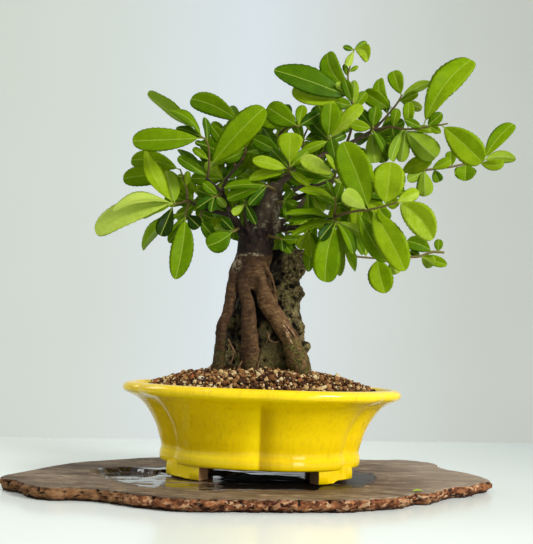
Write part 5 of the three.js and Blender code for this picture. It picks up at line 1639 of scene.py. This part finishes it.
# %% Find each leaf's place in the CAD model
leaf_arch = 0.05  # rise of the midrib over the leaf's length
leaf_aspect = 0.34  # usual width over length
ridge_height = 1.0
stalk_width = 1.1
stalk_share = 0.08
corner_shares = (0.12, 0.42, 0.78)  # how far along a leaf the CAD model has corners
match_distance = 0.05
leaf_shifts = (0, 5, -5, 10, -10, 15, -15, 21, -21, 28, -28)
extra_turns = (0, 0.35, -0.35, 0.7, -0.7)
inner_leaf_count = 10
inner_leaf_length = 32.0
inner_leaf_width = 12.0
spiral_turn = 137.5  # degrees from one leaf of a twig to the next
inner_spread = 62  # degrees between a twig and its first inner leaf
inner_closing = 0.55  # share by which that angle is less at the twig's end
inner_shortening = 0.25  # share by which the leaf is shorter there
first_share = 0.35  # how far along its twig the first inner leaf is rooted
last_share = 0.92  # how far along a stretch of twig a leaf may be rooted


def leaf_frame(base, tip, seen_width, side, bow=0.0):
    """Which way a leaf runs and faces, and its true size."""
    length = np.linalg.norm(tip - base)
    along = (tip - base) / length
    to_eye = eye - base
    to_eye = unit(to_eye - along * to_eye.dot(along))
    leftward = np.cross(to_eye, along)
    upward = leftward if leftward[2] > 0 else -leftward
    width = max(seen_width, leaf_aspect * length)
    facing = min(1.0, seen_width / width)
    normal = to_eye * side * facing + upward * math.sqrt(1 - facing * facing)
    return {
        "base": base, "tip": tip, "length": length, "along": along, "normal": normal,
        "across": unit(np.cross(normal, along)), "width": width, "bow": leftward * bow,
    }


def cad_corners(leaf):
    """The points that the CAD model's leaf has."""
    corners = [leaf["tip"]]
    for t in corner_shares:
        blade = max(0.0, (t - stalk_share) / (1 - stalk_share))
        half = max(stalk_width / 2, leaf["width"] / 2 * math.sin(math.pi * blade ** 1.25) ** 0.75)
        spine = leaf["base"] + (leaf["tip"] - leaf["base"]) * t
        spine = spine + (leaf["normal"] * leaf_arch * leaf["length"] + leaf["bow"]) * 4 * t * (1 - t)
        aside, ridge = leaf["across"] * half, leaf["normal"] * ridge_height
        corners += [spine + aside, spine + ridge, spine - aside]
    return corners


def corner_search(node):
    """Finds CAD points quickly."""
    search = KDTree(len(node.data.vertices))
    for vertex in node.data.vertices:
        search.insert(vertex.co / mm, vertex.index)
    search.balance()
    return search


def best_match(choices, search):
    """The choice that shares most corners with the CAD node, and how many it shares."""
    best, best_count = choices[0], 0
    for leaf in choices:
        count = sum(search.find(corner)[2] < match_distance for corner in cad_corners(leaf))
        if count > best_count:
            best, best_count = leaf, count
    return best, best_count


def on_twig(rows, across, down):
    """The place on a twig that is nearest to a seen place."""
    nearest, place = math.inf, None
    for (ax, ay, a_depth, _), (bx, by, b_depth, _) in zip(rows, rows[1:]):
        share = ((across - ax) * (bx - ax) + (down - ay) * (by - ay)) / ((bx - ax) ** 2 + (by - ay) ** 2)
        share = min(last_share, max(0.0, share))
        x, y = ax + (bx - ax) * share, ay + (by - ay) * share
        if math.hypot(across - x, down - y) < nearest:
            nearest = math.hypot(across - x, down - y)
            place = (x, y, a_depth + (b_depth - a_depth) * share)
    return place


def seen_leaf_choices(twig, row):
    base_across, base_down, tip_across, tip_down, width, lean, side, bow = row[:8]
    place = on_twig(twig, base_across, base_down)
    unit_here = unit_at(place[2])
    return [
        leaf_frame(
            sight(*place), sight(tip_across, tip_down, place[2] + lean + shift), width * unit_here, side,
            bow * unit_here,
        ) for shift in leaf_shifts
    ]


def inner_leaf_choices(start, end, index):
    """Leaves of an inner shoot stand on a spiral round the twig and lean outward."""
    axis = unit(end - start)
    out = unit(np.cross((0, 0, 1), axis))
    share = index / (inner_leaf_count - 1)
    base = start + (end - start) * (first_share + (last_share - first_share) * share)
    length = inner_leaf_length * (1 - inner_shortening * share)
    spread_angle = math.radians(inner_spread) * (1 - inner_closing * share)
    choices = []
    for extra in extra_turns:
        turn = math.radians(spiral_turn) * index + extra
        aside = out * math.cos(turn) + np.cross(axis, out) * math.sin(turn)
        way = axis * math.cos(spread_angle) + aside * math.sin(spread_angle)
        choices.append(leaf_frame(base, base + way * length, inner_leaf_width, 1))
    return choices


# %% [markdown]
# A firethorn leaf is small and leathery, with a blunt tip, fine teeth and a pale midrib. It is folded a
# little along the midrib, so one half often catches the light while the other stays dark. It is built as a
# thin closed skin: rings of sixteen points run from the stalk to the tip, eight of them on each face.

# %% Build one leaf
# How each kind of outline rises and falls, and the places across a leaf from edge to edge
blade_forms = ((0.75, 0.42), (1.25, 0.42), (0.7, 0.55), (0.85, 0.75), (0.9, 1.15))
face_shares = np.array([1, 0.74, 0.42, 0.13, 0, -0.13, -0.42, -0.74])
across_shares = np.r_[face_shares, -face_shares]
leaf_sides = len(across_shares)
rim_shares = np.sqrt(np.clip(1 - across_shares ** 2, 0, 1))
leaf_under = (np.arange(leaf_sides) > leaf_sides // 2).astype(float)  # 1 on the lower face
stalk_half_width = 0.55
stalk_half_depth = 0.45
blade_half_depth = 0.16
tooth_depth = 0.022
toothed = (0.12, 0.93)  # the teeth begin and end at these shares of the blade


def blade_width(share, form):
    rise, fall = blade_forms[form]
    peak = rise / (rise + fall)
    return share ** rise * (1 - share) ** fall / (peak ** rise * (1 - peak) ** fall)


def leaf_skin(leaf, form, chance):
    """Rings round a leaf, and for each point its place on the leaf: across, along, half width."""
    length, along, normal, across = (leaf[key] for key in ("length", "along", "normal", "across"))
    fold = math.tan(math.radians(chance.uniform(9, 24)))
    twist = math.radians(chance.uniform(-16, 16))
    wave_size, wave_phase = chance.uniform(0.04, 0.12), chance.uniform(0, 6.28)
    droop = chance.uniform(-0.01, 0.05) * length
    arch = leaf_arch * length * chance.uniform(0.75, 1.25)
    steps = int(min(34, max(14, length / 1.3)))
    blades = (1 - np.cos(np.pi * np.arange(1, steps + 1) / steps)) / 2
    rings, places = [], []
    for k, blade in enumerate(np.r_[-1, -0.5, blades]):
        t = stalk_share * (1 + blade) if blade <= 0 else stalk_share + (1 - stalk_share) * blade
        wide = 0 if blade <= 0 else leaf["width"] / 2 * blade_width(blade, form)
        shown = max(0.0, blade)
        tooth = tooth_depth * (-1) ** k if toothed[0] < blade < toothed[1] else 0
        stalk = max(0.0, 1 - 2.5 * shown)
        half = max(wide * (1 + tooth), stalk_half_width * stalk, 0.06)
        thick = max(stalk_half_depth * stalk, blade_half_depth * (1 - shown ** 6))
        spine = leaf["base"] + along * length * t
        spine = spine + (normal * arch + leaf["bow"]) * 4 * t * (1 - t)
        spine = spine - normal * droop * 6 * max(0, shown - 0.6) ** 2
        turned = twist * (shown - 0.4) * min(1, 4 * shown)
        local_across = across * math.cos(turned) + normal * math.sin(turned)
        local_normal = normal * math.cos(turned) - across * math.sin(turned)
        from_rib = np.abs(across_shares)
        rib = -np.where(leaf_under, 0.5, 0.16) * (from_rib < 0.01) * min(1.0, 4 * shown) * (1 - shown)
        wave_place = 9 * shown + wave_phase + 1.9 * np.sign(across_shares)
        wave = wave_size * half * from_rib ** 1.6 * np.sin(wave_place)
        lift = from_rib * half * fold * min(1, 3 * shown) * (1 - 0.45 * shown) + wave + rib
        lift += np.where(leaf_under, -1, 1) * thick * rim_shares
        rings.append(spine + local_across * (across_shares * half)[:, None] + local_normal * lift[:, None])
        along_here = shown * length * (1 - stalk_share)
        places.append(np.column_stack([
            across_shares * half, np.full(leaf_sides, along_here), np.full(leaf_sides, half),
        ]))
    return rings, places


# %% [markdown]
# One finish serves all leaves. It asks the mesh for three things: how light this leaf is, which holds painted
# light and shade as well as its own green; whether the point is on its paler underside; and where on the
# blade it lies. From that place it draws the midrib and the side veins. A share of the light passes through,
# because a leaf against a bright wall glows.

# %% Leaf and twig finishes
vein_gap = 3.4
green = Finish("firethorn leaf", specular=0.06)
leaf_across, leaf_along, _ = green.parts(green.kept("leaf_place", "Vector"))
under = green.kept("underside")
off_rib = green.math("ABSOLUTE", leaf_across)
mottle = green.noise(5, detail=3)
fine = green.noise(1.1, detail=4, rough=0.6)
tone_here = green.math(
    "ADD", green.kept("leaf_tone"), green.times(green.math("SUBTRACT", mottle, 0.5), 0.22))
# One half of each blade is painted a little lighter than the other: painted light, as on a folded leaf whose
# one half faces the light.
tone_here = green.math("ADD", tone_here, green.between(leaf_across, -0.6, 0.6, 0.035, -0.035))
vein_way = green.math("SUBTRACT", leaf_along, green.times(off_rib, 0.85))
vein_way = green.math("ADD", vein_way, green.times(mottle, 1.6))
vein_step = green.math("FRACT", green.times(vein_way, 1 / vein_gap))
side_vein = green.between(green.math("ABSOLUTE", green.math("SUBTRACT", vein_step, 0.5)), 0.12, 0.02)
midrib = green.between(off_rib, 0.6, 0.2)
leaf_tone = green.layers(
    green.ramp(
        tone_here, (0.0, paint(10, 34, 0)), (0.2, paint(36, 74, 0)), (0.42, paint(84, 120, 0)),
        (0.62, paint(124, 155, 0)), (0.8, paint(156, 182, 24)), (1.0, paint(199, 217, 92)),
    ),
    (green.times(side_vein, 0.1), paint(176, 196, 70)),
    ((fine, 0.35, 0.65, 0.14, 0.0), paint(52, 84, 0)),
)
upper_tone = green.layers(leaf_tone, (green.times(midrib, 0.5), paint(176, 192, 76)))
under_tone = green.layers(
    leaf_tone, (0.34, paint(142, 170, 66)), (green.times(midrib, 0.45), paint(190, 202, 112)))
blade_tone = green.mix(under, upper_tone, under_tone)
green.set("Base Color", blade_tone)
green.set("Roughness", green.between(under, 0, 1, 0.38, 0.62))
green.set("Normal", green.bump(green.math("SUBTRACT", fine, side_vein), 0.16, 0.8))
green.overlay("Translucent", green.mix(0.4, blade_tone, paint(188, 214, 0)), 0.3)

twig_finish = Finish("young twig", roughness=0.6, specular=0.2)
twig_grain = twig_finish.noise(1.6, detail=4, rough=0.6)
old_twig = twig_finish.mix(twig_grain, paint(48, 30, 20), paint(98, 70, 46))
green_twig = twig_finish.mix(twig_grain, paint(82, 76, 24), paint(124, 114, 50))
twig_finish.set("Base Color", twig_finish.mix(twig_finish.kept("youth"), old_twig, green_twig))
twig_finish.set("Normal", twig_finish.bump(twig_grain, 0.25, 0.6))

# %% Grow the shoots
twig_sides = 8
leaf_chance = np.random.default_rng(5)


def grow_shoot(name, twig_rows, leaves):
    """One piece: a twig and its leaves. Leaves are (frame, tone from 0 to 9, form)."""
    node_name = "shoot_" + name
    body, twig_rings = Body(), seen_tube(twig_rows, twig_sides, 4)
    body.add_rings(twig_rings)
    twig_points, twig_faces = len(body.points), len(body.faces)
    places, tones, unders = [np.zeros((twig_points, 3))], [np.zeros(twig_points)], [np.zeros(twig_points)]
    for leaf, tone_digit, form in leaves:
        rings, ring_places = leaf_skin(leaf, form, leaf_chance)
        body.add_rings(rings)
        places.extend(ring_places)
        leaf_light = min(1.0, max(0.0, tone_digit / 9 + leaf_chance.uniform(-0.04, 0.04)))
        tones.append(np.full(len(rings) * leaf_sides, leaf_light))
        unders.append(np.tile(leaf_under, len(rings)))
    on_twig_face = [face_index < twig_faces for face_index in range(len(body.faces))]
    piece = make_piece(
        "leafy_" + node_name, body.points, body.faces, [green.material, twig_finish.material], on_twig_face,
    )
    youth = np.ones(len(body.points))
    youth[:twig_points] = np.repeat(np.linspace(0.15, 1, len(twig_rings)), twig_sides)
    keep_numbers(piece, "leaf_place", np.vstack(places))
    keep_numbers(piece, "leaf_tone", np.concatenate(tones))
    keep_numbers(piece, "underside", np.concatenate(unders))
    keep_numbers(piece, "youth", youth)
    place_piece(piece, "leaf", node_name)


unmatched = 0
for name, (twig, rows) in shoots.items():
    search = corner_search(frame["nodes"]["shoot_" + name])
    leaves = []
    for row in rows:
        leaf, count = best_match(seen_leaf_choices(twig, row), search)
        unmatched += count == 0
        leaves.append((leaf, row[8], row[9]))
    grow_shoot(name, twig, leaves)
print(unmatched, "leaves were not found in the CAD model")

inner_chance = np.random.default_rng(8)
fewest_shared = 3  # an inner leaf that shares fewer corners with the CAD model isn't in it
left_out = 0
for number, (start, end) in enumerate(inner_shoots, 1):
    search = corner_search(frame["nodes"]["shoot_back_" + str(number)])
    leaves = []
    for index in range(inner_leaf_count):
        leaf, count = best_match(inner_leaf_choices(sight(*start), sight(*end), index), search)
        if count < fewest_shared:
            left_out += 1
            continue
        leaves.append((leaf, inner_chance.integers(3, 7), inner_chance.choice([0, 0, 2])))
    grow_shoot("back_" + str(number), [(*start, 3.0), (*end, 1.8)], leaves)
print(left_out, "inner leaves left out, as in the CAD model")

# %% [markdown]
# A tiny dry leaf has dropped on the slab. It is the same skin as the others, only small and laid flat.

# %% Lay down the fallen leaf
fallen_base, fallen_tip = np.array((121.0, -67.0, 11.0)), np.array((130.5, -64.0, 10.8))
fallen = leaf_frame(fallen_base, fallen_tip, seen_width=1.3, side=1)
fallen_rings, fallen_places = leaf_skin(fallen, form=3, chance=leaf_chance)
fallen_leaf = make_piece("fallen_leaf", np.vstack(fallen_rings), ring_skin(fallen_rings), [green.material])
keep_numbers(fallen_leaf, "leaf_place", np.vstack(fallen_places))
keep_numbers(fallen_leaf, "leaf_tone", np.full(len(fallen_rings) * leaf_sides, 0.95))
keep_numbers(fallen_leaf, "underside", np.zeros(len(fallen_rings) * leaf_sides))
place_piece(fallen_leaf, "leaf")

# %% [markdown]
# ## Under the soil
#
# The plastic mesh over the drain holes and the wire clips that hold it are right in the CAD model. They stay
# as they are and only get their finishes.

# %% Mesh and wire
mesh_finish = Finish("woven plastic mesh", roughness=0.55)
weave = mesh_finish.math("ADD", mesh_finish.noise(1.2, detail=2, stretch=(1, 0.15, 1)),
                         mesh_finish.noise(1.2, detail=2, stretch=(0.15, 1, 1)))
mesh_finish.set("Base Color", mesh_finish.ramp(
    weave, (0.35, paint(18, 20, 19)), (0.7, paint(52, 56, 52))))
mesh_finish.set("Normal", mesh_finish.bump(weave, 0.15, 0.6))
wire_finish = Finish("aluminium wire", roughness=0.38)
wire_finish.set("Metallic", 1.0)
tarnish = wire_finish.noise(2.5, detail=4)
wire_finish.set("Base Color", wire_finish.ramp(
    tarnish, (0.35, paint(120, 116, 108)), (0.65, paint(196, 194, 190))))
wire_finish.set("Roughness", wire_finish.between(tarnish, 0.3, 0.7, 0.3, 0.5))
for node_name, finish in (
    ("drain_screen_left", mesh_finish), ("drain_screen_right", mesh_finish),
    ("screen_clip_left", wire_finish), ("screen_clip_right", wire_finish),
):
    for material_slot in frame["nodes"][node_name].material_slots:
        material_slot.material = finish.material
    print(node_name, "is finished in", finish.material.name)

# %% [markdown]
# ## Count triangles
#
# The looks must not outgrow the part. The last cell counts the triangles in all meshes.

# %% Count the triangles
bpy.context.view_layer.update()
in_all = sum(count_triangles(piece) for piece in bpy.data.objects if piece.type == "MESH")
print("Triangles in all:", in_all)
